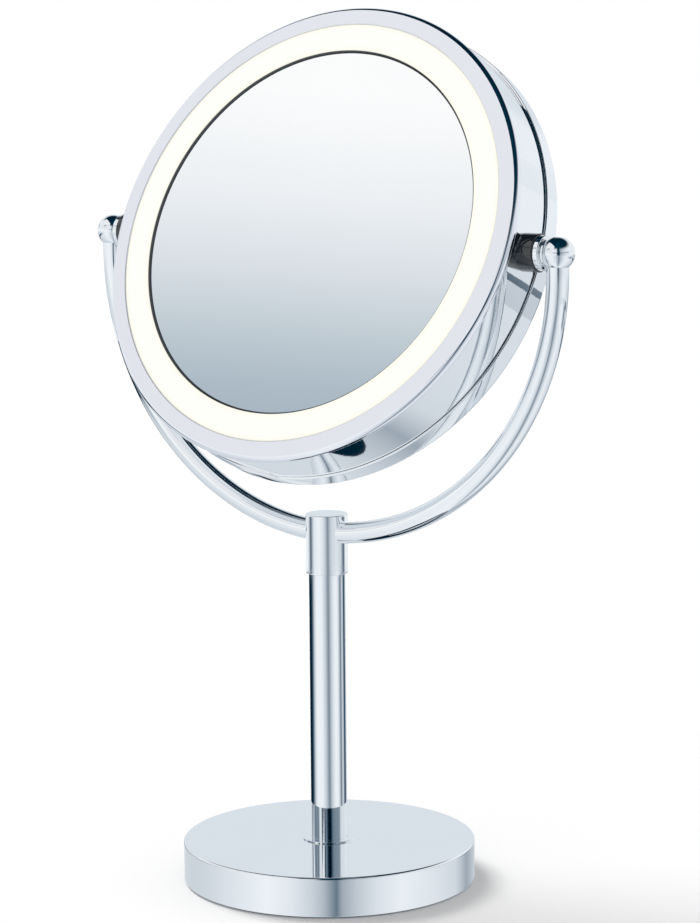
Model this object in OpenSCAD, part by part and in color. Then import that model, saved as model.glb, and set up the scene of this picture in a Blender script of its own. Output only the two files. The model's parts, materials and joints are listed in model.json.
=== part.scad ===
// Free-standing shaving mirror: a lit, double-sided round head held in a U-shaped yoke
// on a stem and a weighted round base.
// Millimetres. +Z is up, the lit mirror faces -Y and leans back, and the origin is the
// centre of the face that rests on the table.

/* [Base] */
// Diameter of the round base
base_d = 102; // [92:1:120]
// Height of the base with its pad
base_h = 14.4; // [13.4:0.1:20]
// Rounding of the base's top edge
base_edge = 0.8; // [0.3:0.1:1.2]
// Thickness of the base cover's wall and top
shell_t = 1.4; // [1:0.1:1.8]
// Thickness of the foam pad underneath
pad_t = 0.9; // [0.9:0.1:1.5]

/* [Stem and collar] */
// Height of the head's tilting axis above the table
pivot_height = 223.9; // [200:0.1:280]
// Outside diameter of the stem
stem_d = 12.6; // [11.6:0.1:16]
// Wall of the stem's tube
stem_wall = 1.2; // [1:0.1:1.4]
// Height of the collar that carries the yoke
collar_h = 20.7; // [19.7:0.1:30]
// Wall of the collar's sleeve round the stem
sleeve_wall = 0.7; // [0.6:0.1:1.2]
// Diameter of the thin disc at the stem's foot
foot_disc_d = 18.8; // [17.6:0.1:24]

/* [Yoke] */
// Diameter of the bent rod
rod_d = 7.5; // [6:0.1:8]
// Straight length of each arm below the tilting axis
arm_h = 6.7; // [5:0.1:20]
// Diameter of the balls at the ends of the arms
ball_d = 11.3; // [11:0.1:14]
// Length of the dark spacer between the drum and the arm
spacer_h = 5.8; // [5:0.1:8]
// Diameter of the dark spacer
spacer_d = 12.8; // [11:0.1:14]

/* [Head] */
// Diameter of the mirror glass that shows
mirror_d = 130; // [110:1:170]
// How far the head leans back from upright, in degrees
head_tilt = 24.7; // [0:0.1:30]
// Width of the dark groove between the glass and the light ring
groove_w = 0.9; // [0.6:0.1:1.2]
// Width of the light ring
light_w = 9.2; // [9:0.1:14]
// Width of the front bezel's flat face
bezel_w = 6.7; // [6.4:0.1:9]
// Distance from the tilting axis to the front of the head
front_reach = 11.9; // [11.9:0.1:16]
// Distance from the tilting axis to the back of the head
back_reach = 15.9; // [15.9:0.1:20]
// Height of the front bezel's lip
lip_h = 3.4; // [3:0.1:3.6]
// Height of the rear bezel
rear_lip_h = 7.8; // [7.8:0.1:8]
// How far the glass sits behind the head's front
glass_recess = 1.3; // [0.8:0.1:1.5]
// Radius of curvature of the magnifying mirror
magnifier_curve = 500; // [480:10:900]
// Number of light-emitting diodes
led_count = 18; // [12:1:24]

/* [Power button] */
// Where the button sits round the drum, in degrees from the right-hand side
button_angle = 135; // [120:1:140]
// Diameter of the button
button_d = 6; // [5:0.1:6]
// How far the button can be pressed
button_travel = 1; // [0.5:0.1:1.2]

/* [Fits] */
// Radial clearance of a running fit
run_fit = 0.05; // [0.02:0.01:0.08]
// Clearance between pieces that move past each other
move_gap = 0.3; // [0.2:0.05:0.4]
// Clearance between pieces pushed or screwed together
seat_gap = 0.02; // [0.01:0.01:0.05]

/* [Hidden] */

$fn = 96;
// Segments of the magnifying mirror's very large circles
curve_fn = 900;
// Overlap that makes a cut pass clean through a face
eps = 0.5;
// How far a cross hole runs past the drum's curved wall on both sides
through = 2;

CHROME = [0.86, 0.88, 0.90];
STEEL = [0.62, 0.63, 0.65];
DARK_PLASTIC = [0.10, 0.11, 0.12];
GREY_PLASTIC = [0.42, 0.43, 0.45];
WHITE_PLASTIC = [0.92, 0.92, 0.90];
LIGHT = [1.00, 0.99, 0.92];
MIRROR = [0.78, 0.82, 0.86];
BOARD_GREEN = [0.10, 0.38, 0.20];
COPPER = [0.80, 0.56, 0.30];

// Base
base_r = base_d / 2;
shell_bottom = 0.8;
shell_inner_r = base_r - shell_t;
plate_t = 1.3;
plate_gap = 0.1;
pad_inset = 0.8;
plate_top = pad_t + plate_t;
shell_ceiling = base_h - shell_t;
bolt_r = 2.9;
bolt_hole_r = 3.2;
bolt_head_corner_r = 5.77;
bolt_head_h = 4;
washer_t = 1;
washer_r = 6.4;
bolt_recess_r = 7.5;
bolt_recess_top = plate_top + 6;
bolt_length = 20;
plate_screw_count = 3;
plate_screw_r = 1.45;
plate_screw_head_r = 2.7;
plate_screw_top = plate_top + 6;
plate_screw_room = 1;
plate_screw_ring_r = base_r - 12.8;
plate_screw_angles = [0:360 / plate_screw_count:359];

// Stem
stem_r = stem_d / 2;
stem_bore_r = stem_r - stem_wall;
foot_disc_t = 0.5;
insert_h = 20;
insert_thread_depth = bolt_length - 4;

// Head radii, from the glass outwards
glass_r = mirror_d / 2;
light_in = glass_r + groove_w;
light_out = light_in + light_w;
bezel_in = light_out + 0.1;
bezel_r = bezel_in + bezel_w;
drum_r = bezel_r - 0.3;
drum_wall = 1.2;
drum_in = drum_r - drum_wall;
rear_r = bezel_r + 0.5;

// Head levels along the face's own axis: 0 is the tilting axis, + is towards the front
front_z = front_reach;
lip_z = front_z - lip_h;
bezel_face_t = 2.3;
bezel_step_z = front_z - 2;
skirt_h = 3;
bezel_edge = 0.6;
drum_front_z = lip_z - 0.1;
glass_t = 2;
glass_z = front_z - glass_recess;
glass_back_z = glass_z - glass_t;
tray_t = 1.6;
tray_z = glass_back_z - tray_t;
trough_z = tray_z - 3.2;
tray_wall = 1.2;
trough_floor_z = trough_z + tray_wall;
light_front_z = front_z - 0.3;
light_back_z = front_z - 3.7;
flange_t = 1.4;
flange_w = 3.5;
light_edge = 0.4;
glass_edge = 0.3;
chassis_t = 1.6;
chassis_z = trough_z - chassis_t;
back_z = -back_reach;
rear_lip_z = back_z + rear_lip_h;
drum_back_z = rear_lip_z + move_gap;
rear_plate_t = 1.4;
tray_out = drum_in - 1.3;
skirt_in = drum_in - 1.1;
skirt_out = drum_in - 0.1;
chassis_r = drum_in - 1;
boss_r = 4.2;
boss_h = 7.2;
boss_pilot_h = 5.2;
boss_ring_r = drum_in + 0.4 - boss_r;
boss_angles = [30, 150, 210, 330];
tray_boss_r = 3;
tray_boss_ring_r = glass_r - 7;
tray_boss_angles = [45, 135, 225, 315];
board_t = 1.2;
board_in = light_in + 0.3;
board_out = tray_out - tray_wall - 0.7;
led_ring_r = (board_in + board_out) / 2;
led_size = [3.5, 2.8, 0.8];
small_screw_r = 1.05;
small_pilot_r = 1.1;
small_hole_r = 1.3;
small_head_r = 2.3;
small_head_h = 1.2;
small_tip_gap = 0.1;
tray_tip_gap = 0.4;
chassis_screw_h = chassis_t + 4.5;

// Pivot, counted along X from the drum outwards
ring_h = 2;
ring_edge = 0.5;
ring_r = spacer_d / 2 - 0.5;
thrust_gap = 0.1;
spacer_end = drum_r + spacer_h;
spacer_edge = 0.4;
ring_start = spacer_end + thrust_gap;
ring_end = ring_start + ring_h;
neck_h = 4.2;
neck_r = 4.6;
ball_r = ball_d / 2;
ball_x = ring_end + neck_h;
shoulder_r = 2;
pivot_thread_r = 1.75;
pivot_thread_h = 5.4;
pivot_thread_room = 0.2;
pivot_head_r = 3.4;
pivot_head_h = 1.5;
pivot_washer_h = 0.5;
bush_sleeve_r = 3.2;
bush_in = drum_in - 2;
pivot_notch_w = 14;

// Yoke
rod_r = rod_d / 2;
arc_z = pivot_height - arm_h;
rod_z = arc_z - ball_x;
arm_end = 2.5;
collar_cap = 2.55;
collar_r = stem_r + move_gap + sleeve_wall;
collar_edge = 0.4;
collar_top = rod_z + rod_r + collar_cap;
collar_bottom = collar_top - collar_h;
collar_seat = rod_z - rod_r - 2.95;
bush_flange_t = 0.4;
stem_top = collar_seat - thrust_gap - bush_flange_t;
bush_h = 19;
pin_r = 3.4;
pin_thread_r = 2.95;
pin_bottom = stem_top - bush_h - move_gap;
pin_screw_r = 1.45;
pin_screw_h = 8;
pin_screw_head_r = 2.8;
pin_screw_head_h = 1.8;
pin_washer_r = stem_bore_r - 0.4;
pin_washer_t = 0.8;

// Rear mirror, from its glass outwards
glass_seat_r = glass_r + 2.5;
magnifier_depth = magnifier_curve - sqrt(pow(magnifier_curve, 2) - pow(glass_seat_r, 2));
magnifier_edge_z = back_z + rear_plate_t + 0.1;
magnifier_back_z = magnifier_edge_z + magnifier_depth;
rear_wall = 1.2;
rear_edge = 1;
rear_tray_out = drum_in - move_gap;
rear_tray_t = 1.2;
rear_tray_z = magnifier_back_z + glass_t + 0.2;
rear_skirt_z = rear_lip_z + 2.3;
rest_out = glass_seat_r - 0.5;
rest_in = rest_out - 2;

// Batteries: three cells side by side, along the face's height
cell_r = 5.25;
cell_h = 43.5;
nub_r = 1.9;
nub_h = 1;
divider_t = 0.7;
bay_w = 2 * cell_r + 0.5;
bay_pitch = bay_w + divider_t;
box_wall = 1.2;
contact_t = 0.4;
contact_top_gap = 0.2;
spring_h = 4.7;
bay_h = cell_h + nub_h + spring_h + 2 * contact_t;
box_in_w = 3 * bay_w + 2 * divider_t;
box_z = -4.9;
box_floor_t = 1;
box_gap = 0.2;
cell_z = tray_z - box_floor_t - cell_r - 0.1;
box_flange_t = 1.4;
box_flange_w = 5;
box_screw_inset = 2.6;
spring_r = 3;
spring_wire_r = 0.35;
spring_turns = 3;
contact_w = bay_w - 0.4;
contact_z = box_z + 0.6;
link_z = box_z - 0.5;

// Power button and switch, counted along the drum's radius
button_z = -1.8;
button_r = button_d / 2;
button_edge = 0.5;
button_out = drum_r + button_travel + 0.5;
button_flange_r = button_r + 0.6;
button_flange_out = drum_in - 1.4;
button_flange_t = 1.4;
button_flange_in = button_flange_out - button_flange_t;
plunger_r = 1.2;
plunger_in = button_flange_in - 5.2;
plunger_room = button_travel + 0.5;
switch_out = button_flange_in - 3.3;
switch_in = switch_out - 6.8;
switch_w = 7;
switch_board_t = 1;
switch_board_w = 14;
switch_board_in = switch_in - 5.5;
lead_r = 0.6;
lead_run = 9;
lead_joint_r = switch_board_in + 1.5;
lead_spread = 5 / lead_joint_r * 180 / PI;
lead_hole_r = 1;
corner_swell = 1.3;
lead_z = button_z - 0.2;
lead_ring_r = (light_in + board_out) / 2 - 1.5;
lead_switched_angle = 118;
lead_black_angle = 298;

// A plain round disc between two levels
module disc(r, z0, z1) {
    translate([0, 0, z0]) cylinder(r = r, h = z1 - z0);
}

// A plain round tube between two levels
module tube(r_out, r_in, z0, z1) {
    difference() {
        disc(r_out, z0, z1);
        disc(r_in, z0 - eps, z1 + eps);
    }
}

// Half section of a disc whose top outer edge is rounded
module rounded_section(r, z0, z1, edge) {
    translate([0, z0]) square([r - edge, z1 - z0]);
    translate([0, z0]) square([r, z1 - z0 - edge]);
    translate([r - edge, z1 - edge]) circle(edge);
}

// Half section of a ring with square corners
module ring_section(r_in, r_out, z0, z1) {
    translate([r_in, z0]) square([r_out - r_in, z1 - z0]);
}

// Copies placed evenly or at given angles on a ring
module on_ring(ring_r, angles) {
    for (a = angles) rotate(a) translate([ring_r, 0, 0]) children();
}

// A screw pointing up: head below z, shank above
module screw(z, shank_r, shank_h, head_r, head_h) {
    disc(head_r, z - head_h, z);
    disc(shank_r, z - eps, z + shank_h);
}

// A flat-headed screw pointing down from level z
module sunk_screw(z, shank_r, shank_h, head_r, head_h) {
    translate([0, 0, z - head_h]) cylinder(r1 = shank_r, r2 = head_r, h = head_h);
    disc(shank_r, z - shank_h, z - head_h + eps);
}

// The head's own frame: X stays, Y runs up the face and Z points out of its front
module in_head() {
    translate([0, 0, pivot_height]) rotate([90 - head_tilt, 0, 0]) children();
}

// Turns a shape drawn along +Z so that it points out along one arm of the pivot
module on_pivot(side) {
    translate([0, 0, pivot_height]) rotate([0, 90 * side, 0]) children();
}

// The same direction, in the head's own frame
module on_head_pivot(side) {
    in_head() rotate([0, 90 * side, 0]) children();
}

// Turns a shape drawn along +Z so that it points out along the button's radius
module on_button() {
    in_head() translate([0, 0, button_z]) rotate(button_angle) rotate([0, 90, 0]) children();
}

// One straight round stretch from point a to point b
module stretch(a, b, r) {
    d = b - a;
    length = norm(d);
    turn = atan2(d[1], d[0]);
    lean = acos(d[2] / length);
    translate(a) rotate([0, lean, turn]) cylinder(r = r, h = length, $fn = 24);
}

// A round lead through a list of points, with a fuller sleeve at each corner
module lead(points, r) {
    for (i = [0:len(points) - 2]) stretch(points[i], points[i + 1], r);
    for (i = [1:len(points) - 2]) translate(points[i]) sphere(r * corner_swell, $fn = 24);
}

// A point on a ring in the head's frame
function ring_point(r, a, z) = [r * cos(a), r * sin(a), z];

// ---- Base ----

module base_shell() {
    color(CHROME) difference() {
        rotate_extrude() difference() {
            rounded_section(base_r, shell_bottom, base_h, base_edge);
            square([shell_inner_r, shell_ceiling]);
        }
        disc(bolt_hole_r, shell_ceiling - eps, base_h + eps);
    }
}

module base_weight() {
    color(STEEL) difference() {
        disc(shell_inner_r - move_gap, plate_top, shell_ceiling);
        disc(bolt_hole_r, plate_top - eps, shell_ceiling + eps);
        disc(bolt_recess_r, plate_top - eps, bolt_recess_top);
        on_ring(plate_screw_ring_r, plate_screw_angles)
            disc(plate_screw_r + run_fit, plate_top - eps, plate_screw_top + plate_screw_room);
    }
}

// A flat-headed screw that holds the base plate, or its hole with some extra radius
module plate_screw_shape(extra) {
    translate([0, 0, pad_t]) mirror([0, 0, 1])
        sunk_screw(0, plate_screw_r + extra, plate_screw_top - pad_t,
                   plate_screw_head_r + extra, plate_t);
}

module base_plate() {
    color(STEEL) difference() {
        disc(shell_inner_r - plate_gap, pad_t, plate_top);
        on_ring(plate_screw_ring_r, plate_screw_angles)
            plate_screw_shape(run_fit);
    }
}

module base_pad() {
    color(DARK_PLASTIC) disc(shell_inner_r - pad_inset, 0, pad_t);
}

module base_plate_screws() {
    color(STEEL) on_ring(plate_screw_ring_r, plate_screw_angles)
        plate_screw_shape(0);
}

// ---- Stem ----

module stem_bolt() {
    head_top = bolt_recess_top - washer_t;
    color(STEEL) {
        translate([0, 0, head_top - bolt_head_h])
            cylinder(r = bolt_head_corner_r, h = bolt_head_h, $fn = 6);
        disc(bolt_r, head_top - eps, head_top + bolt_length);
    }
}

module stem_washer() {
    color(STEEL) tube(washer_r, bolt_hole_r, bolt_recess_top - washer_t, bolt_recess_top);
}

module stem_foot_disc() {
    color(CHROME) tube(foot_disc_d / 2, stem_r + seat_gap, base_h, base_h + foot_disc_t);
}

module stem_tube() {
    color(CHROME) tube(stem_r, stem_bore_r, base_h, stem_top);
}

module stem_lower_insert() {
    color(STEEL) difference() {
        disc(stem_bore_r - seat_gap, base_h, base_h + insert_h);
        disc(bolt_r + run_fit, base_h - eps, base_h + insert_thread_depth);
    }
}

module swivel_bush() {
    color(WHITE_PLASTIC) difference() {
        union() {
            disc(stem_bore_r - seat_gap, stem_top - bush_h, stem_top + bush_flange_t);
            disc(stem_r - 0.1, stem_top, stem_top + bush_flange_t);
        }
        disc(pin_r + run_fit, stem_top - bush_h - eps, stem_top + bush_flange_t + eps);
    }
}

// ---- Yoke ----

// The bent rod's path: half a circle below, a straight arm on each side
module yoke_sweep(r) {
    translate([0, 0, arc_z]) {
        rotate([90, 0, 0]) rotate(180) rotate_extrude(angle = 180) translate([ball_x, 0]) circle(r);
        for (side = [-1, 1]) translate([side * ball_x, 0, 0]) disc(r, 0, arm_h - arm_end);
    }
}

module yoke_rod() {
    color(CHROME) yoke_sweep(rod_r);
}

module yoke_collar() {
    color(CHROME) difference() {
        rotate_extrude() rounded_section(collar_r, collar_bottom, collar_top, collar_edge);
        disc(stem_r + move_gap, collar_bottom - eps, collar_seat);
        disc(pin_thread_r + run_fit, collar_bottom - eps, rod_z);
        translate([0, 0, arc_z]) rotate([90, 0, 0]) rotate_extrude()
            translate([ball_x, 0]) circle(rod_r + run_fit);
    }
}

module swivel_pin() {
    color(STEEL) difference() {
        union() {
            disc(pin_r, pin_bottom, collar_seat);
            disc(pin_thread_r, collar_seat - eps, rod_z - rod_r - run_fit);
        }
        disc(pin_screw_r + run_fit, pin_bottom - eps, pin_bottom + pin_screw_h + 1);
    }
}

module swivel_washer() {
    color(STEEL) tube(pin_washer_r, pin_screw_r + run_fit, pin_bottom - pin_washer_t, pin_bottom);
}

module swivel_screw() {
    color(STEEL) screw(pin_bottom - pin_washer_t, pin_screw_r, pin_screw_h,
                       pin_screw_head_r, pin_screw_head_h);
}

module pivot_ball(side) {
    color(CHROME) difference() {
        on_pivot(side) {
            translate([0, 0, ball_x]) sphere(ball_r);
            disc(neck_r, ring_end, ball_x);
        }
        on_pivot(side) {
            disc(ring_r, ring_end - ball_r, ring_end);
            disc(pivot_thread_r + run_fit, ring_end - eps, ring_end + pivot_thread_h + pivot_thread_room);
        }
        translate([side * ball_x, 0, 0])
            disc(rod_r + seat_gap, pivot_height - ball_r - neck_r, pivot_height - arm_end + seat_gap);
    }
}

module pivot_ring(side) {
    color(CHROME) on_pivot(side) difference() {
        rotate_extrude() rounded_section(ring_r, ring_start, ring_end, ring_edge);
        disc(shoulder_r + run_fit, ring_start - eps, ring_end + eps);
    }
}

module pivot_screw(side) {
    color(STEEL) on_pivot(side) {
        disc(pivot_head_r, bush_in - pivot_washer_h - pivot_head_h, bush_in - pivot_washer_h);
        disc(shoulder_r, bush_in - pivot_washer_h - eps, ring_end);
        disc(pivot_thread_r, ring_end - eps, ring_end + pivot_thread_h);
    }
}

module pivot_washer(side) {
    color(STEEL) on_pivot(side)
        tube(pivot_head_r, shoulder_r + run_fit, bush_in - pivot_washer_h, bush_in - thrust_gap);
}

module pivot_ball_left() { pivot_ball(-1); }
module pivot_ball_right() { pivot_ball(1); }
module pivot_ring_left() { pivot_ring(-1); }
module pivot_ring_right() { pivot_ring(1); }
module pivot_screw_left() { pivot_screw(-1); }
module pivot_screw_right() { pivot_screw(1); }
module pivot_washer_left() { pivot_washer(-1); }
module pivot_washer_right() { pivot_washer(1); }

// ---- Head ----

module drum_shell() {
    color(CHROME) difference() {
        in_head() difference() {
            union() {
                tube(drum_r, drum_in, drum_back_z, drum_front_z);
                intersection() {
                    on_ring(boss_ring_r, boss_angles) disc(boss_r, chassis_z - boss_h, chassis_z);
                    disc(drum_r - 0.2, drum_back_z, drum_front_z);
                }
            }
            on_ring(boss_ring_r, boss_angles) disc(small_pilot_r, chassis_z - boss_pilot_h, chassis_z + eps);
        }
        for (side = [-1, 1])
            on_head_pivot(side) disc(bush_sleeve_r + seat_gap, drum_in - through, drum_r + through);
        on_button() disc(button_r + move_gap, drum_in - through, drum_r + through);
    }
}

module pivot_bush(side) {
    color(DARK_PLASTIC) difference() {
        union() {
            difference() {
                on_head_pivot(side) rotate_extrude()
                    rounded_section(spacer_d / 2, drum_in, spacer_end, spacer_edge);
                in_head() disc(drum_r + seat_gap, -spacer_d, spacer_d);
            }
            on_head_pivot(side) disc(bush_sleeve_r, bush_in, drum_r + 1);
        }
        on_head_pivot(side) disc(shoulder_r + run_fit, bush_in - eps, spacer_end + eps);
    }
}

module pivot_bush_left() { pivot_bush(-1); }
module pivot_bush_right() { pivot_bush(1); }

module front_bezel() {
    color(CHROME) in_head() rotate_extrude() {
        difference() {
            rounded_section(bezel_r, front_z - bezel_face_t, front_z, bezel_edge);
            square([bezel_in, front_z + eps]);
        }
        ring_section(skirt_in, bezel_r, lip_z, bezel_step_z);
        ring_section(skirt_in, skirt_out, lip_z - skirt_h, lip_z + eps);
    }
}

module light_ring() {
    color(LIGHT) in_head() rotate_extrude() {
        difference() {
            rounded_section(light_out, light_back_z, light_front_z, light_edge);
            square([light_in, light_front_z + eps]);
        }
        ring_section(light_in, light_out + flange_w, light_back_z, light_back_z + flange_t);
    }
}

module front_glass() {
    color(MIRROR) in_head() rotate_extrude()
        rounded_section(glass_r, glass_back_z, glass_z, glass_edge);
}

module front_tray() {
    trough_in = light_in - 0.3;
    color(DARK_PLASTIC) in_head() difference() {
        union() {
            rotate_extrude() {
                ring_section(0, trough_in, tray_z, glass_back_z);
                ring_section(trough_in - tray_wall, trough_in, trough_z, glass_back_z);
                ring_section(trough_in - tray_wall, tray_out, trough_z, trough_floor_z);
                ring_section(tray_out - tray_wall, tray_out, trough_z, light_back_z);
            }
            on_ring(tray_boss_ring_r, tray_boss_angles) disc(tray_boss_r, trough_z, tray_z + 0.1);
        }
        on_ring(tray_boss_ring_r, tray_boss_angles) disc(small_pilot_r, trough_z - eps, tray_z - 0.1);
        lead_holes(trough_z - eps, trough_floor_z + eps);
    }
}

// Holes that let the two lighting leads reach the board
module lead_holes(z0, z1) {
    on_ring(lead_ring_r, [lead_switched_angle, lead_black_angle]) disc(lead_hole_r, z0, z1);
}

module led_board() {
    color(BOARD_GREEN) in_head() tube(board_out, board_in, trough_floor_z, trough_floor_z + board_t);
}

module led_chips() {
    color(LIGHT) in_head() on_ring(led_ring_r, [0:360 / led_count:359.9])
        translate([0, 0, trough_floor_z + board_t + led_size[2] / 2]) cube(led_size, center = true);
}

// ---- Inside the head ----

module chassis() {
    window = [box_in_w + 2 * (box_wall + box_gap), bay_h + 2 * (box_wall + box_gap), chassis_t + 2 * eps];
    color(GREY_PLASTIC) in_head() difference() {
        disc(chassis_r, chassis_z, trough_z);
        translate([0, 0, chassis_z + chassis_t / 2]) cube(window, center = true);
        for (side = [-1, 1]) translate([side * chassis_r, 0, chassis_z + chassis_t / 2])
            cube([pivot_notch_w, pivot_notch_w, chassis_t + 2 * eps], center = true);
        on_ring(boss_ring_r, boss_angles) sunk_screw(trough_z + 0.01, small_hole_r, chassis_t + eps,
                                                     small_head_r + 0.1, small_head_h);
        on_ring(tray_boss_ring_r, tray_boss_angles)
            disc(small_hole_r, chassis_z - eps, trough_z + eps);
        box_screw_places() disc(small_pilot_r, chassis_z - eps, trough_z + eps);
        lead_holes(chassis_z - eps, trough_z + eps);
    }
}

module chassis_screws() {
    color(STEEL) in_head() on_ring(boss_ring_r, boss_angles)
        sunk_screw(trough_z, small_screw_r, chassis_screw_h, small_head_r, small_head_h);
}

module tray_screws() {
    color(STEEL) in_head() on_ring(tray_boss_ring_r, tray_boss_angles)
        screw(chassis_z, small_screw_r, tray_z - chassis_z - tray_tip_gap, small_head_r, small_head_h);
}

// Places of the four screws at the battery box's corners
module box_screw_places() {
    across = box_in_w / 2 + box_wall + box_screw_inset;
    along = bay_h / 2 + box_wall + box_screw_inset;
    for (x = [-across, across])
        for (y = [-along, along])
            translate([x, y, 0]) children();
}

// A rectangular block centred on the head's axis between two levels
module block(w, h, z0, z1) {
    translate([-w / 2, -h / 2, z0]) cube([w, h, z1 - z0]);
}

module battery_box() {
    outer_w = box_in_w + 2 * box_wall;
    outer_h = bay_h + 2 * box_wall;
    color(DARK_PLASTIC) in_head() difference() {
        union() {
            block(outer_w, outer_h, box_z, tray_z);
            block(outer_w + 2 * box_flange_w, outer_h + 2 * box_flange_w,
                  chassis_z - box_flange_t, chassis_z);
        }
        for (bay = [-1:1]) translate([bay * bay_pitch, 0, 0])
            block(bay_w, bay_h, box_z - eps, tray_z - box_floor_t);
        box_screw_places() disc(small_hole_r, chassis_z - box_flange_t - eps, chassis_z + eps);
        translate([-bay_pitch, bay_h / 2 - eps, lead_z]) rotate([-90, 0, 0])
            cylinder(r = lead_r + run_fit, h = box_wall + 2 * eps);
        translate([bay_pitch, -bay_h / 2 + eps, lead_z]) rotate([90, 0, 0])
            cylinder(r = lead_r + run_fit, h = box_wall + 2 * eps);
    }
}

module battery_box_screws() {
    color(STEEL) in_head() box_screw_places()
        screw(chassis_z - box_flange_t, small_screw_r, box_flange_t + chassis_t - small_tip_gap,
              small_head_r, small_head_h);
}

// One cell in a bay: up is 1 where its positive end points up the face, -1 where it points down
module cell(bay, up, tint) {
    color(tint) in_head() translate([bay * bay_pitch, 0, cell_z]) rotate([-90 * up, 0, 0])
        translate([0, 0, bay_h / 2 - contact_t - nub_h - cell_h]) {
            cylinder(r = cell_r, h = cell_h);
            cylinder(r = nub_r, h = cell_h + nub_h);
        }
}

module battery_left() { cell(-1, 1, COPPER); }
module battery_middle() { cell(0, -1, COPPER); }
module battery_right() { cell(1, 1, COPPER); }

// A coil spring of round wire, closed at both ends, along +Z
module coil(r, wire, turns, length) {
    sides = 6;
    steps = 14;
    rings = turns * steps;
    rise = length - 2 * wire;
    points = [for (i = [0:rings]) for (k = [0:sides - 1])
        let (a = 360 * i / steps, b = 360 * k / sides, q = r + wire * cos(b))
            [q * cos(a), q * sin(a), wire + rise * i / rings + wire * sin(b)]];
    walls = [for (i = [0:rings - 1]) for (k = [0:sides - 1])
        let (n = (k + 1) % sides)
            [i * sides + k, (i + 1) * sides + k, (i + 1) * sides + n, i * sides + n]];
    first = [for (k = [0:sides - 1]) k];
    last = [for (k = [sides - 1:-1:0]) rings * sides + k];
    polyhedron(points, concat(walls, [first], [last]), convexity = 6);
}

module battery_springs() {
    color(STEEL) in_head() for (bay = [-1:1]) {
        up = bay == 0 ? -1 : 1;
        translate([bay * bay_pitch, 0, cell_z]) rotate([-90 * up, 0, 0])
            translate([0, 0, contact_t - bay_h / 2])
                coil(spring_r, spring_wire_r, spring_turns, spring_h);
    }
}

// A flat contact at one end of the box: one bay, or two bays linked under their divider
module contact(first_bay, last_bay, up) {
    linked = last_bay > first_bay;
    left = first_bay * bay_pitch - contact_w / 2;
    right = last_bay * bay_pitch + contact_w / 2;
    end_y = up * (bay_h - contact_t) / 2 - contact_t / 2;
    low = linked ? link_z : contact_z;
    high = tray_z - box_floor_t - contact_top_gap;
    for (bay = [first_bay:last_bay])
        translate([bay * bay_pitch - contact_w / 2, end_y, low])
            cube([contact_w, contact_t, high - low]);
    if (linked)
        translate([left, end_y, link_z])
            cube([right - left, contact_t, box_z - seat_gap - link_z]);
}

module battery_contacts() {
    color(COPPER) in_head() {
        contact(-1, -1, 1);
        contact(0, 1, 1);
        contact(-1, 0, -1);
        contact(1, 1, -1);
    }
}

module switch_board() {
    color(BOARD_GREEN) in_head() rotate(button_angle)
        translate([switch_board_in, -switch_board_w / 2, chassis_z - switch_board_t])
            cube([switch_out - switch_board_in, switch_board_w, switch_board_t]);
}

module switch_body() {
    top = chassis_z - switch_board_t;
    color(DARK_PLASTIC) difference() {
        in_head() rotate(button_angle)
            translate([switch_in, -switch_w / 2, 2 * button_z - top])
                cube([switch_out - switch_in, switch_w, 2 * (top - button_z)]);
        on_button() disc(plunger_r + move_gap, plunger_in - plunger_room, switch_out + eps);
    }
}

// Red lead: positive contact to the switch
module lead_red() {
    board_point = ring_point(lead_joint_r, button_angle, chassis_z - switch_board_t);
    color("red") in_head() lead([
        [-bay_pitch, bay_h / 2, lead_z],
        [-bay_pitch, bay_h / 2 + lead_run, lead_z],
        ring_point(lead_joint_r, button_angle, lead_z),
        board_point,
    ], lead_r);
}

// Switched lead: switch to the light board
module lead_switched() {
    start = button_angle - lead_spread;
    color("white") in_head() lead([
        ring_point(lead_joint_r, start, chassis_z - switch_board_t),
        ring_point(lead_joint_r, start, lead_z),
        ring_point(lead_ring_r, lead_switched_angle, lead_z),
        ring_point(lead_ring_r, lead_switched_angle, trough_floor_z),
    ], lead_r);
}

// Black lead: negative contact to the light board
module lead_black() {
    color("black") in_head() lead([
        [bay_pitch, -bay_h / 2, lead_z],
        [bay_pitch, -bay_h / 2 - lead_run, lead_z],
        ring_point(lead_ring_r, lead_black_angle, lead_z),
        ring_point(lead_ring_r, lead_black_angle, trough_floor_z),
    ], lead_r);
}

// ---- Rear mirror, which pulls off to reach the batteries ----

module rear_bezel() {
    color(CHROME) in_head() mirror([0, 0, 1]) rotate_extrude() difference() {
        rounded_section(rear_r, -rear_lip_z, back_reach, rear_edge);
        square([light_in, back_reach + eps]);
        square([rear_r - rear_wall, back_reach - rear_plate_t]);
    }
}

module magnifying_glass() {
    color(MIRROR) in_head() rotate_extrude() intersection() {
        translate([0, back_z]) square([glass_seat_r, back_reach]);
        translate([0, magnifier_back_z - magnifier_curve]) difference() {
            circle(magnifier_curve + glass_t, $fn = curve_fn);
            circle(magnifier_curve, $fn = curve_fn);
        }
    }
}

module rear_tray() {
    rest_z = magnifier_back_z - magnifier_curve + seat_gap
             + sqrt(pow(magnifier_curve + glass_t, 2) - pow(rest_in, 2));
    color(GREY_PLASTIC) in_head() rotate_extrude() {
        ring_section(0, rear_tray_out, rear_tray_z, rear_tray_z + rear_tray_t);
        ring_section(rear_tray_out - rear_wall, rear_tray_out, back_z + rear_plate_t, rear_skirt_z);
        ring_section(rest_in, rest_out, rest_z, rear_tray_z + 0.1);
    }
}

// ---- Power button ----

module power_button() {
    color(CHROME) on_button() {
        rotate_extrude() rounded_section(button_r, button_flange_in, button_out, button_edge);
        disc(button_flange_r, button_flange_in, button_flange_out);
    }
}

module switch_plunger() {
    color(DARK_PLASTIC) on_button() disc(plunger_r, plunger_in, button_flange_in);
}

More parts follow.
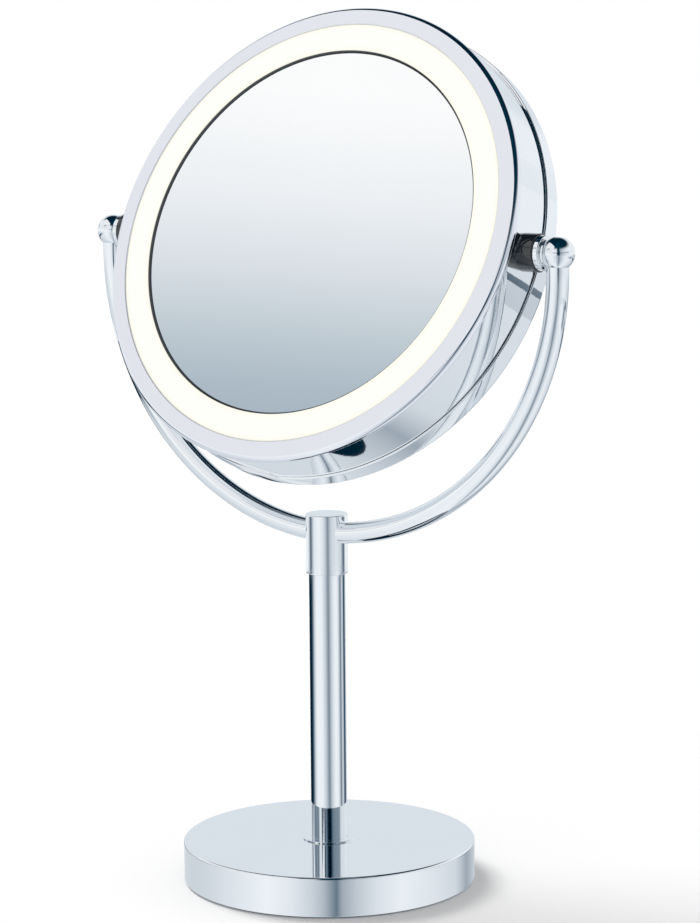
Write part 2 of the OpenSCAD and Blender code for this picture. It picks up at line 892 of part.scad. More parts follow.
base_shell();
base_weight();
base_plate();
base_pad();
base_plate_screws();
stem_bolt();
stem_washer();
stem_foot_disc();
stem_tube();
stem_lower_insert();
swivel_bush();
yoke_collar();
yoke_rod();
swivel_pin();
swivel_washer();
swivel_screw();
pivot_ball_left();
pivot_ball_right();
pivot_ring_left();
pivot_ring_right();
pivot_screw_left();
pivot_screw_right();
pivot_washer_left();
pivot_washer_right();
drum_shell();
pivot_bush_left();
pivot_bush_right();
front_bezel();
light_ring();
front_glass();
front_tray();
led_board();
led_chips();
chassis();
chassis_screws();
tray_screws();
battery_box();
battery_box_screws();
battery_left();
battery_middle();
battery_right();
battery_springs();
battery_contacts();
switch_board();
switch_body();
lead_red();
lead_black();
lead_switched();
rear_bezel();
magnifying_glass();
rear_tray();
power_button();
switch_plunger();
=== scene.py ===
"""Looks of a free-standing, battery-lit shaving mirror.

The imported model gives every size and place. Each sub-assembly is a class that builds its visible
pieces as turned or swept meshes, dresses them, and hands them to the body that carries them.
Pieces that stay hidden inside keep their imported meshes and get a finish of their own.
"""

import json
import logging
import math
from dataclasses import dataclass, field
from enum import Enum
from typing import Iterable, Optional, Sequence

import bmesh
import bpy
import numpy as np
from mathutils import Matrix, Vector


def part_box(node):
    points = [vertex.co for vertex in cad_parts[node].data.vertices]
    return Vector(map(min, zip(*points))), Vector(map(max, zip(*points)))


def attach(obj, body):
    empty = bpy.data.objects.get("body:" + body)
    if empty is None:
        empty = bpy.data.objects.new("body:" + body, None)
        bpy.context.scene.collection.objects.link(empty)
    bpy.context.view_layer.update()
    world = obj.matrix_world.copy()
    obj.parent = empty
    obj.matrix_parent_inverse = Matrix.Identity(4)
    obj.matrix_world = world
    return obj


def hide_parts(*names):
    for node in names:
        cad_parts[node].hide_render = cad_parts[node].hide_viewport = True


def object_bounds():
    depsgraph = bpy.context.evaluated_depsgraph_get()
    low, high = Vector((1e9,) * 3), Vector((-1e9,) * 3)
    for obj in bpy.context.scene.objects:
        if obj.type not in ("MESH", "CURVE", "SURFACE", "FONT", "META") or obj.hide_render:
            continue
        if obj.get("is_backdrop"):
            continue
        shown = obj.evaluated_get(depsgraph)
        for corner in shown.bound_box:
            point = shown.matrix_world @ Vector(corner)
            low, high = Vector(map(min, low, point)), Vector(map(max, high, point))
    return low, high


LOG = logging.getLogger("shaving_mirror")
MM = 0.001
SAME_POINT = 1e-9
ON_AXIS = 1e-7
STRAIGHT = 1e-4

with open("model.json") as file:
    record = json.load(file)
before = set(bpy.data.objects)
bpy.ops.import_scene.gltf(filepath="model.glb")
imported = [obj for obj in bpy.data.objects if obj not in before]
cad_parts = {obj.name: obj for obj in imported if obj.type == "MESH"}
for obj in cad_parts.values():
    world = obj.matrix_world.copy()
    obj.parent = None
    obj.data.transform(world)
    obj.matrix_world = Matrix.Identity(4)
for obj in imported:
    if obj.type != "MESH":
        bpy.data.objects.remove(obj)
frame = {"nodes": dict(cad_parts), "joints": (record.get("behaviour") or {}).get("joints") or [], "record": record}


class Body(Enum):
    """The moving groups of the mirror."""

    STAND = "stand"
    YOKE = "yoke"
    HEAD = "head"
    REAR_MIRROR = "rear_mirror"
    POWER_BUTTON = "power_button"


class Side(Enum):
    """The two ends of the tilting axis, with the sign of X on each."""

    LEFT = -1
    RIGHT = 1

    @property
    def word(self) -> str:
        """The side's name as node names end with it."""
        return self.name.lower()


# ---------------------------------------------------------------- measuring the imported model


def node_points(node: str) -> np.ndarray:
    """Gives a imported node's mesh points.

    Args:
        node: The node's name.

    Returns:
        An array of one row for each point, in metres.
    """
    mesh = frame["nodes"][node].data
    points = np.zeros(len(mesh.vertices) * 3)
    mesh.vertices.foreach_get("co", points)
    return points.reshape(-1, 3)


def joint(name: str) -> dict:
    """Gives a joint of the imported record.

    Args:
        name: The joint's name.

    Returns:
        The joint's own block.
    """
    return next(j for j in frame["joints"] if j["name"] == name)


def turned_place(origin: Vector, axis: Vector) -> Matrix:
    """Makes the placing matrix of a turned piece.

    Args:
        origin: Where the piece's own zero lies.
        axis: The direction that its turning axis points in.

    Returns:
        A matrix that takes +Z to the axis and keeps X sideways where it can.
    """
    up = axis.normalized()
    side = Vector((1, 0, 0))
    if abs(up.dot(side)) > 0.99:
        side = Vector((0, 1, 0))
    side = (side - up * side.dot(up)).normalized()
    forward = up.cross(side)
    rows = ((side.x, forward.x, up.x, origin.x), (side.y, forward.y, up.y, origin.y),
            (side.z, forward.z, up.z, origin.z), (0, 0, 0, 1))
    return Matrix(rows)


@dataclass(frozen=True)
class Axis:
    """A line that pieces are turned about, with the means to measure nodes along it."""

    origin: Vector
    direction: Vector

    @property
    def place(self) -> Matrix:
        """The placing matrix of a piece turned about this line."""
        return turned_place(self.origin, self.direction)

    def span(self, node: str) -> tuple[float, float]:
        """Measures a node along the line.

        Args:
            node: The node's name.

        Returns:
            Its lowest and highest reach from the line's origin.
        """
        along = (node_points(node) - np.array(self.origin)) @ np.array(self.direction)
        return float(along.min()), float(along.max())

    def reach(self, node: str) -> float:
        """Measures how far a node reaches out from the line.

        Args:
            node: The node's name.

        Returns:
            The largest distance of its points from the line.
        """
        return float(self._distances(node).max())

    def bore(self, node: str) -> float:
        """Measures the hole of a node about the line.

        Args:
            node: The node's name.

        Returns:
            The smallest distance of its points from the line.
        """
        return float(self._distances(node).min())

    def _distances(self, node: str) -> np.ndarray:
        """Measures how far each point of a node lies from the line.

        Args:
            node: The node's name.

        Returns:
            One distance for each point.
        """
        offset = node_points(node) - np.array(self.origin)
        along = offset @ np.array(self.direction)
        out = offset - np.outer(along, np.array(self.direction))
        return np.sqrt((out ** 2).sum(1))


PIVOT = Vector(joint("head_tilt")["pos_m"])
BACKWARDS = Vector(joint("rear_mirror_pull")["axis"]).normalized()
STEM_AXIS = Axis(Vector((0, 0, 0)), Vector((0, 0, 1)))
FACE_AXIS = Axis(PIVOT, -BACKWARDS)


# ---------------------------------------------------------------- mesh tools


@dataclass(frozen=True)
class Corner:
    """A corner of a half section: its radius and height, and how far it is rounded."""

    r: float
    z: float
    rounding: float = 0.0


@dataclass
class Outline:
    """A closed half section that is turned into a solid, with exact normals along it."""

    corners: Sequence[Corner]
    steps: int = 8

    def edges(self) -> list[tuple[Vector, Vector, Vector, Vector]]:
        """Walks round the outline.

        Returns:
            For each short edge its start, its end and the outward normals at both.
        """
        arcs = [self._arc(i) for i in range(len(self.corners))]
        walk = []
        for i, arc in enumerate(arcs):
            for (p, np_), (q, nq) in zip(arc, arc[1:]):
                walk.append((p, q, np_, nq))
            start = arc[-1][0]
            end = arcs[(i + 1) % len(arcs)][0][0]
            if (end - start).length > SAME_POINT:
                normal = self._right_of(end - start)
                walk.append((start, end, normal, normal))
        return walk

    def _arc(self, i: int) -> list[tuple[Vector, Vector]]:
        """Rounds one corner.

        Args:
            i: The corner's index.

        Returns:
            Points and normals along its rounding, or the bare corner.
        """
        here = self.corners[i]
        point = Vector((here.r, here.z))
        before = self.corners[i - 1]
        after = self.corners[(i + 1) % len(self.corners)]
        into = (point - Vector((before.r, before.z))).normalized()
        out = (Vector((after.r, after.z)) - point).normalized()
        turn = math.atan2(into.x * out.y - into.y * out.x, into.dot(out))
        if here.rounding <= 0 or abs(turn) < STRAIGHT:
            return [(point, self._right_of(out))]
        cut = here.rounding * math.tan(abs(turn) / 2)
        sign = 1 if turn > 0 else -1
        start = point - into * cut
        centre = start - self._right_of(into) * (here.rounding * sign)
        arc = []
        for k in range(self.steps + 1):
            angle = turn * k / self.steps
            normal = self._right_of(into).copy()
            normal.rotate(Matrix.Rotation(angle, 2))
            arc.append((centre + normal * (here.rounding * sign), normal))
        return arc

    @staticmethod
    def _right_of(direction: Vector) -> Vector:
        """Gives the unit normal on the right of a walking direction."""
        return Vector((direction.y, -direction.x)).normalized()


def turn_solid(name: str, outline: Outline, place: Matrix, around: int = 224) -> bpy.types.Object:
    """Turns a closed half section into a solid with exact normals.

    Args:
        name: The new object's name.
        outline: The half section, walked with its outside on the right.
        place: Where the solid's own axis frame lies.
        around: How many steps the turn has.

    Returns:
        The new object, with its mesh already in place.
    """
    edges = outline.edges()
    angles = [2 * math.pi * k / around for k in range(around)]
    rings: list[list[int]] = []
    points: list[tuple[float, float, float]] = []
    for start, _, _, _ in edges:
        if start.x < ON_AXIS:
            points.append((0, 0, start.y))
            rings.append([len(points) - 1] * around)
            continue
        first = len(points)
        points.extend((start.x * math.cos(a), start.x * math.sin(a), start.y) for a in angles)
        rings.append(list(range(first, first + around)))
    faces: list[tuple[int, ...]] = []
    normals: list[Vector] = []
    for i, (_, _, n0, n1) in enumerate(edges):
        low, high = rings[i], rings[(i + 1) % len(rings)]
        for k in range(around):
            m = (k + 1) % around
            loop = [(low[k], n0, k), (low[m], n0, m), (high[m], n1, m), (high[k], n1, k)]
            kept = [c for j, c in enumerate(loop) if c[0] != loop[j - 1][0]]
            if len(kept) < 3:
                continue
            faces.append(tuple(c[0] for c in kept))
            normals.extend(Vector((n.x * math.cos(angles[q]), n.x * math.sin(angles[q]), n.y))
                           for _, n, q in kept)
    mesh = bpy.data.meshes.new(name)
    mesh.from_pydata(points, [], faces)
    mesh.shade_smooth()
    mesh.normals_split_custom_set([tuple(n) for n in normals])
    mesh.transform(place)
    return add_object(name, mesh)


def add_object(name: str, mesh: bpy.types.Mesh) -> bpy.types.Object:
    """Puts a mesh into the scene.

    Args:
        name: The new object's name.
        mesh: Its mesh.

    Returns:
        The new object.
    """
    mesh.name = name
    obj = bpy.data.objects.new(name, mesh)
    bpy.context.scene.collection.objects.link(obj)
    return obj


def sweep_rod(name: str, path: Sequence[Vector], radius: float, edge: float,
              sides: int = 64) -> bpy.types.Object:
    """Sweeps a round rod with softly rounded ends along a flat path.

    Args:
        name: The new object's name.
        path: The centre line's points, all in one plane with Y across it.
        radius: The rod's radius.
        edge: The rounding of the rod's end edges.
        sides: How many steps go round the rod.

    Returns:
        The new object.
    """
    steps = 6
    stations: list[tuple[Vector, Vector, float]] = []
    first = (path[1] - path[0]).normalized()
    last = (path[-1] - path[-2]).normalized()
    for k in range(steps):
        a = math.pi / 2 * k / steps
        stations.append((path[0] + first * edge * (1 - math.cos(a)), first,
                         radius - edge * (1 - math.sin(a))))
    for i in range(1, len(path) - 1):
        stations.append((path[i], (path[i + 1] - path[i - 1]).normalized(), radius))
    for k in reversed(range(steps)):
        a = math.pi / 2 * k / steps
        stations.append((path[-1] - last * edge * (1 - math.cos(a)), last,
                         radius - edge * (1 - math.sin(a))))
    across = Vector((0, 1, 0))
    bm = bmesh.new()
    rings = []
    for centre, along, r in stations:
        out = along.cross(across).normalized()
        rings.append([bm.verts.new(centre + out * (r * math.cos(2 * math.pi * k / sides))
                                   + across * (r * math.sin(2 * math.pi * k / sides)))
                      for k in range(sides)])
    for low, high in zip(rings, rings[1:]):
        for k in range(sides):
            m = (k + 1) % sides
            bm.faces.new((low[k], low[m], high[m], high[k]))
    bm.faces.new(list(reversed(rings[0])))
    bm.faces.new(rings[-1])
    bmesh.ops.recalc_face_normals(bm, faces=bm.faces)
    mesh = bpy.data.meshes.new(name)
    bm.to_mesh(mesh)
    bm.free()
    mesh.shade_smooth()
    return add_object(name, mesh)


def cut_round_hole(obj: bpy.types.Object, axis: Axis, radius: float, low: float, high: float) -> None:
    """Cuts a round hole through a piece.

    Args:
        obj: The piece.
        axis: The line of the hole.
        radius: The hole's radius.
        low: Where the cut starts along the line.
        high: Where it ends.
    """
    rim = Outline([Corner(0, low), Corner(radius, low), Corner(radius, high), Corner(0, high)])
    cutter = turn_solid("hole_cutter", rim, axis.place, around=64)
    cut = obj.modifiers.new("hole", "BOOLEAN")
    cut.operation = "DIFFERENCE"
    cut.solver = "EXACT"
    cut.object = cutter
    apply_modifiers(obj)
    bpy.data.objects.remove(cutter)


def apply_modifiers(obj: bpy.types.Object) -> None:
    """Makes a piece's modifiers part of its mesh.

    Args:
        obj: The piece.
    """
    graph = bpy.context.evaluated_depsgraph_get()
    mesh = bpy.data.meshes.new_from_object(obj.evaluated_get(graph))
    obj.modifiers.clear()
    obj.data = mesh


# ---------------------------------------------------------------- finishes


class Weave:
    """A material being wired: adds shader nodes and joins them."""

    def __init__(self, name: str) -> None:
        """Starts an empty node material.

        Args:
            name: The material's name.
        """
        self.material = bpy.data.materials.new(name)
        self.material.use_nodes = True
        self.tree = self.material.node_tree
        self.tree.nodes.clear()
        self.output = self.tree.nodes.new("ShaderNodeOutputMaterial")

    def node(self, kind: str, **sockets: object) -> bpy.types.Node:
        """Adds a node and fills its sockets.

        Args:
            kind: The node's type name after ShaderNode.
            **sockets: Socket names with underscores for spaces, each with a value or another socket.

        Returns:
            The new node.
        """
        made = self.tree.nodes.new("ShaderNode" + kind)
        for key, value in sockets.items():
            self.feed(made, key.replace("_", " "), value)
        return made

    def feed(self, node: bpy.types.Node, socket: str, value: object) -> None:
        """Sets or links one socket.

        Args:
            node: The node.
            socket: The socket's name.
            value: A value, or an output socket to link.
        """
        target = node.inputs[socket]
        if isinstance(value, bpy.types.NodeSocket):
            self.tree.links.new(value, target)
        else:
            target.default_value = value

    def noise(self, scale: float, detail: float = 3.0, stretch: Optional[Vector] = None,
              ) -> bpy.types.NodeSocket:
        """Adds fine noise in the piece's own space.

        Args:
            scale: Waves in each metre.
            detail: How many finer layers it has.
            stretch: How much each axis is scaled first, if not evenly.

        Returns:
            The noise's value socket.
        """
        where = self.node("TexCoord").outputs["Object"]
        if stretch is not None:
            where = self.node("Mapping", Vector=where, Scale=tuple(stretch)).outputs["Vector"]
        return self.node("TexNoise", Vector=where, Scale=scale, Detail=detail).outputs["Fac"]

    def spread(self, fac: bpy.types.NodeSocket, low: float, high: float) -> bpy.types.NodeSocket:
        """Maps a 0 to 1 value onto a range.

        Args:
            fac: The value.
            low: The result where it is 0.
            high: The result where it is 1.

        Returns:
            The mapped value.
        """
        mapped = self.node("MapRange", Value=fac)
        mapped.inputs["To Min"].default_value = low
        mapped.inputs["To Max"].default_value = high
        return mapped.outputs["Result"]

    def tint(self, fac: bpy.types.NodeSocket, stops: Sequence[tuple[float, tuple[float, ...]]],
             ) -> bpy.types.NodeSocket:
        """Colours a 0 to 1 value.

        Args:
            fac: The value.
            stops: Places from 0 to 1, each with a colour.

        Returns:
            The colour socket.
        """
        ramp = self.node("ValToRGB", Fac=fac)
        elements = ramp.color_ramp.elements
        while len(elements) < len(stops):
            elements.new(0.5)
        for element, (place, colour) in zip(elements, stops):
            element.position = place
            element.color = (*colour, 1)
        return ramp.outputs["Color"]

    def bump(self, height: bpy.types.NodeSocket, strength: float, distance: float,
             ) -> bpy.types.NodeSocket:
        """Turns a height into a normal.

        Args:
            height: The height value.
            strength: How strongly it shows, 0 to 1.
            distance: The height of a full step, in metres.

        Returns:
            The normal socket.
        """
        return self.node("Bump", Height=height, Strength=strength, Distance=distance).outputs["Normal"]

    def close(self, shader: bpy.types.Node) -> bpy.types.Material:
        """Joins the last shader to the output.

        Args:
            shader: The shader node.

        Returns:
            The finished material.
        """
        out = shader.outputs.get("BSDF") or shader.outputs.get("Shader") or shader.outputs["Emission"]
        self.tree.links.new(out, self.output.inputs["Surface"])
        return self.material


@dataclass(frozen=True)
class Chrome:
    """Bright chrome plate: a deep mirror with the faintest orange peel and wiping haze."""

    name: str
    colour: tuple[float, float, float]
    roughness: float = 0.03
    peel: float = 0.02

    def make(self) -> bpy.types.Material:
        """Wires the finish.

        Returns:
            The material.
        """
        weave = Weave(self.name)
        haze = weave.noise(38, 4)
        rough = weave.spread(haze, self.roughness * 0.6, self.roughness * 1.5)
        tone = weave.tint(haze, [(0.3, tuple(c * 0.985 for c in self.colour)), (0.7, self.colour)])
        normal = weave.bump(weave.noise(210, 2), self.peel, 0.0004)
        return weave.close(weave.node("BsdfPrincipled", Base_Color=tone, Metallic=1.0,
                                      Roughness=rough, Normal=normal))


@dataclass(frozen=True)
class Silvering:
    """Silvered glass: a clean mirror with a slightly cool cast and a trace of dust."""

    name: str
    colour: tuple[float, float, float]

    def make(self) -> bpy.types.Material:
        """Wires the finish.

        Returns:
            The material.
        """
        weave = Weave(self.name)
        dust = weave.noise(900, 6)
        rough = weave.spread(dust, 0.004, 0.02)
        tone = weave.tint(weave.noise(14, 2), [(0.35, tuple(c * 0.99 for c in self.colour)),
                                               (0.65, self.colour)])
        return weave.close(weave.node("BsdfPrincipled", Base_Color=tone, Metallic=1.0,
                                      Roughness=rough))


@dataclass(frozen=True)
class Glow:
    """Opal plastic lit from behind: white inside, warmer at its edges, with painted shade that darkens its inner
    wall.
    """

    name: str
    middle: tuple[float, float, float]
    rim: tuple[float, float, float]
    body: tuple[float, float, float]
    inner: float
    outer: float
    strength: float
    # Painted shade for the ring's inner wall, where it stands proud of the glass: dark in both base colour and
    # glow.
    painted_wall_shade: tuple[float, float, float] = (0.04, 0.045, 0.05)
    seam: tuple[float, float, float] = (0.62, 0.62, 0.60)

    def make(self) -> bpy.types.Material:
        """Wires the finish.

        Returns:
            The material.
        """
        weave = Weave(self.name)
        out = self._distance_out(weave)
        # The innermost stops are painted shade on the inner wall; the last ones are a grey seam at the outer edge.
        tone = weave.tint(out, [
            (0.0, self.painted_wall_shade), (0.010, self.painted_wall_shade), (0.022, self.rim), (0.20, self.middle),
            (0.82, self.middle), (0.965, self.rim), (0.985, self.seam), (1.0, self.seam)])
        # The base colour carries the same painted shade on the inner wall.
        body = weave.tint(out, [(0.010, self.painted_wall_shade), (0.022, self.body)])
        rough = weave.spread(weave.noise(260, 3), 0.22, 0.34)
        return weave.close(weave.node("BsdfPrincipled", Base_Color=body, Roughness=rough,
                                      Emission_Color=tone, Emission_Strength=self.strength,
                                      Normal=weave.bump(weave.noise(700, 2), 0.05, 0.0002)))

    def _distance_out(self, weave: Weave) -> bpy.types.NodeSocket:
        """Measures how far out across the ring a point lies.

        Args:
            weave: The material being wired.

        Returns:
            A value from 0 at the inner edge to 1 at the outer.
        """
        offset = weave.node("VectorMath", Vector=weave.node("TexCoord").outputs["Object"])
        offset.operation = "SUBTRACT"
        offset.inputs[1].default_value = tuple(FACE_AXIS.origin)
        across = weave.node("VectorMath")
        across.operation = "CROSS_PRODUCT"
        weave.tree.links.new(offset.outputs["Vector"], across.inputs[0])
        across.inputs[1].default_value = tuple(FACE_AXIS.direction)
        reach = weave.node("VectorMath")
        reach.operation = "LENGTH"
        weave.tree.links.new(across.outputs["Vector"], reach.inputs[0])
        part = weave.node("MapRange", Value=reach.outputs["Value"])
        part.inputs["From Min"].default_value = self.inner
        part.inputs["From Max"].default_value = self.outer
        return part.outputs["Result"]


@dataclass(frozen=True)
class Moulding:
    """Moulded plastic, rubber or foam with a fine grain."""

    name: str
    colour: tuple[float, float, float]
    roughness: float
    grain: float = 900.0
    depth: float = 0.12
    coat: float = 0.0

    def make(self) -> bpy.types.Material:
        """Wires the finish.

        Returns:
            The material.
        """
        weave = Weave(self.name)
        cloud = weave.noise(self.grain / 12, 4)
        dark = tuple(c * 0.88 for c in self.colour)
        tone = weave.tint(cloud, [(0.3, dark), (0.7, self.colour)])
        rough = weave.spread(cloud, self.roughness * 0.85, min(1.0, self.roughness * 1.15))
        normal = weave.bump(weave.noise(self.grain, 3), self.depth, 0.0003)
        return weave.close(weave.node("BsdfPrincipled", Base_Color=tone, Roughness=rough,
                                      Coat_Weight=self.coat, Coat_Roughness=0.06, Normal=normal))


@dataclass(frozen=True)
class WorkedMetal:
    """Plain metal: turned, plated or cast, with tool marks or grain along one axis."""

    name: str
    colour: tuple[float, float, float]
    roughness: float
    grain: float = 500.0
    stretch: tuple[float, float, float] = (1.0, 1.0, 1.0)
    depth: float = 0.1

    def make(self) -> bpy.types.Material:
        """Wires the finish.

        Returns:
            The material.
        """
        weave = Weave(self.name)
        marks = weave.noise(self.grain, 4, Vector(self.stretch))
        dark = tuple(c * 0.8 for c in self.colour)
        tone = weave.tint(weave.noise(60, 3), [(0.3, dark), (0.7, self.colour)])
        rough = weave.spread(marks, self.roughness * 0.75, min(1.0, self.roughness * 1.25))
        return weave.close(weave.node("BsdfPrincipled", Base_Color=tone, Metallic=1.0,
                                      Roughness=rough, Normal=weave.bump(marks, self.depth, 0.0003)))


@dataclass(frozen=True)
class CircuitBoard:
    """Green board with faint copper tracks under its lacquer."""

    name: str
    lacquer: tuple[float, float, float]
    track: tuple[float, float, float]

    def make(self) -> bpy.types.Material:
        """Wires the finish.

        Returns:
            The material.
        """
        weave = Weave(self.name)
        where = weave.node("TexCoord").outputs["Object"]
        cells = weave.node("TexVoronoi", Vector=where, Scale=260.0)
        cells.feature = "DISTANCE_TO_EDGE"
        tone = weave.tint(cells.outputs["Distance"], [(0.04, self.track), (0.09, self.lacquer)])
        rough = weave.spread(weave.noise(400, 2), 0.28, 0.4)
        return weave.close(weave.node("BsdfPrincipled", Base_Color=tone, Roughness=rough,
                                      Normal=weave.bump(cells.outputs["Distance"], 0.1, 0.0001)))


@dataclass(frozen=True)
class CellSleeve:
    """The plain two-tone sleeve of a dry cell: a dark length and a copper-coloured end."""

    name: str
    long_part: tuple[float, float, float]
    end_part: tuple[float, float, float]

    def make(self) -> bpy.types.Material:
        """Wires the finish.

        Returns:
            The material.
        """
        weave = Weave(self.name)
        split = weave.node("SeparateXYZ", Vector=weave.node("TexCoord").outputs["Generated"])
        tone = weave.tint(split.outputs["Z"], [(0.66, self.long_part), (0.68, self.end_part)])
        rough = weave.spread(weave.noise(300, 2), 0.2, 0.3)
        return weave.close(weave.node("BsdfPrincipled", Base_Color=tone, Metallic=0.7,
                                      Roughness=rough,
                                      Normal=weave.bump(weave.noise(500, 2), 0.05, 0.0002)))


@dataclass
class Workshop:
    """Makes each slot's finish once and gives it out."""

    finishes: dict[str, object] = field(default_factory=dict)
    made: dict[str, bpy.types.Material] = field(default_factory=dict)

    def finish(self, slot: str) -> bpy.types.Material:
        """Gives a slot's material.

        Args:
            slot: The record's material slot.

        Returns:
            The material, made on first use.
        """
        if slot not in self.made:
            self.made[slot] = self.finishes[slot].make()
        return self.made[slot]

    def dress(self, obj: bpy.types.Object, slot: str) -> None:
        """Gives a piece one slot's finish all over.

        Args:
            obj: The piece.
            slot: The record's material slot.
        """
        obj.data.materials.clear()
        obj.data.materials.append(self.finish(slot))

    def fit(self, obj: bpy.types.Object, body: Body, nodes: Iterable[str], slot: str) -> None:
        """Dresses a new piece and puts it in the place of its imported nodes.

        Args:
            obj: The piece.
            body: The body that carries it.
            nodes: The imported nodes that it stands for.
            slot: The record's material slot.
        """
        self.dress(obj, slot)
        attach(obj, body.value)
        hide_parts(*nodes)
        LOG.info("%s: %s, %s, %d faces", obj.name, body.value, slot, len(obj.data.polygons))


def plan_finishes() -> Workshop:
    """Lists every slot's finish.

    Returns:
        The workshop that makes them.
    """
    light_in = FACE_AXIS.bore("light_ring") - Head.light_overhang
    light_out = FACE_AXIS.bore("front_bezel")
    return Workshop({
        "chrome": Chrome("chrome_plate", (0.90, 0.915, 0.93)),
        "bezel_chrome": Chrome("bezel_plate", (0.88, 0.885, 0.92), 0.05, 0.01),
        "mirror_glass": Silvering("mirror_glass", (0.965, 0.975, 0.98)),
        "magnifier_glass": Silvering("magnifier_glass", (0.93, 0.95, 0.965)),
        "light_diffuser": Glow("opal_light", (1.0, 1.0, 0.95), (1.0, 0.975, 0.83),
                               (0.22, 0.22, 0.21), light_in, light_out, 0.76),
        "led_white": Glow("diode_lens", (1.0, 0.97, 0.80), (1.0, 0.90, 0.55),
                          (0.6, 0.55, 0.3), light_in, light_out, 1.0),
        "dark_spacer": Moulding("dark_spacer", (0.012, 0.014, 0.018), 0.12, 500, 0.04, 0.6),
        "black_plastic": Moulding("black_plastic", (0.03, 0.03, 0.034), 0.42),
        "grey_plastic": Moulding("grey_plastic", (0.30, 0.31, 0.33), 0.45),
        "white_nylon": Moulding("white_nylon", (0.80, 0.80, 0.76), 0.4),
        "black_foam": Moulding("black_foam", (0.02, 0.02, 0.02), 0.9, 1400, 0.5),
        "cast_iron": WorkedMetal("cast_iron", (0.20, 0.20, 0.21), 0.7, 700, depth=0.5),
        "zinc_steel": WorkedMetal("zinc_steel", (0.62, 0.64, 0.68), 0.28, 420, (1, 1, 6)),
        "circuit_board": CircuitBoard("circuit_board", (0.02, 0.16, 0.06), (0.05, 0.28, 0.10)),
        "battery_wrap": CellSleeve("cell_sleeve", (0.03, 0.03, 0.035), (0.62, 0.36, 0.16)),
        "nickel_contact": WorkedMetal("nickel_contact", (0.74, 0.70, 0.62), 0.22, 600),
        "red_lead": Moulding("red_lead", (0.55, 0.02, 0.02), 0.4),
        "black_lead": Moulding("black_lead", (0.015, 0.015, 0.015), 0.4),
        "white_lead": Moulding("white_lead", (0.75, 0.75, 0.72), 0.4),
    })


# ---------------------------------------------------------------- sub-assemblies


@dataclass
class Base:
    """The round weighted base and the foam pad that it stands on."""

    workshop: Workshop
    edge: float = 0.8 * MM
    wall: float = 1.4 * MM
    pad_edge: float = 0.3 * MM

    def build(self) -> None:
        """Makes the cover and the pad."""
        self._cover()
        self._pad()

    def _cover(self) -> None:
        """Makes the chromed cover: a flat top, a crisp rounded edge and a straight side."""
        low, high = STEM_AXIS.span("base_shell")
        r = STEM_AXIS.reach("base_shell")
        hole = STEM_AXIS.bore("base_shell")
        ceiling = high - self.wall
        outline = Outline([
            Corner(hole, ceiling), Corner(r - self.wall, ceiling, self.edge / 2),
            Corner(r - self.wall, low), Corner(r, low, self.edge / 3),
            Corner(r, high, self.edge), Corner(hole, high),
        ], steps=10)
        cover = turn_solid("base_cover", outline, STEM_AXIS.place, around=320)
        self.workshop.fit(cover, Body.STAND, ["base_shell"], "chrome")

    def _pad(self) -> None:
        """Makes the foam pad, set in from the cover's rim."""
        low, high = STEM_AXIS.span("base_pad")
        r = STEM_AXIS.reach("base_pad")
        outline = Outline([
            Corner(0, low), Corner(r, low, self.pad_edge), Corner(r, high), Corner(0, high),
        ], steps=4)
        pad = turn_solid("foam_pad", outline, STEM_AXIS.place, around=160)
        self.workshop.fit(pad, Body.STAND, ["base_pad"], "black_foam")


@dataclass
class Stem:
    """The stem's tube and the thin disc at its foot."""

    workshop: Workshop
    edge: float = 0.15 * MM

    def build(self) -> None:
        """Makes the tube and the disc."""
        for name, node in (("stem", "stem_tube"), ("foot_disc", "stem_foot_disc")):
            low, high = STEM_AXIS.span(node)
            r = STEM_AXIS.reach(node)
            bore = STEM_AXIS.bore(node)
            outline = Outline([
                Corner(bore, low), Corner(r, low), Corner(r, high, self.edge),
                Corner(bore, high, self.edge / 2),
            ], steps=4)
            piece = turn_solid(name, outline, STEM_AXIS.place, around=192)
            self.workshop.fit(piece, Body.STAND, [node], "chrome")


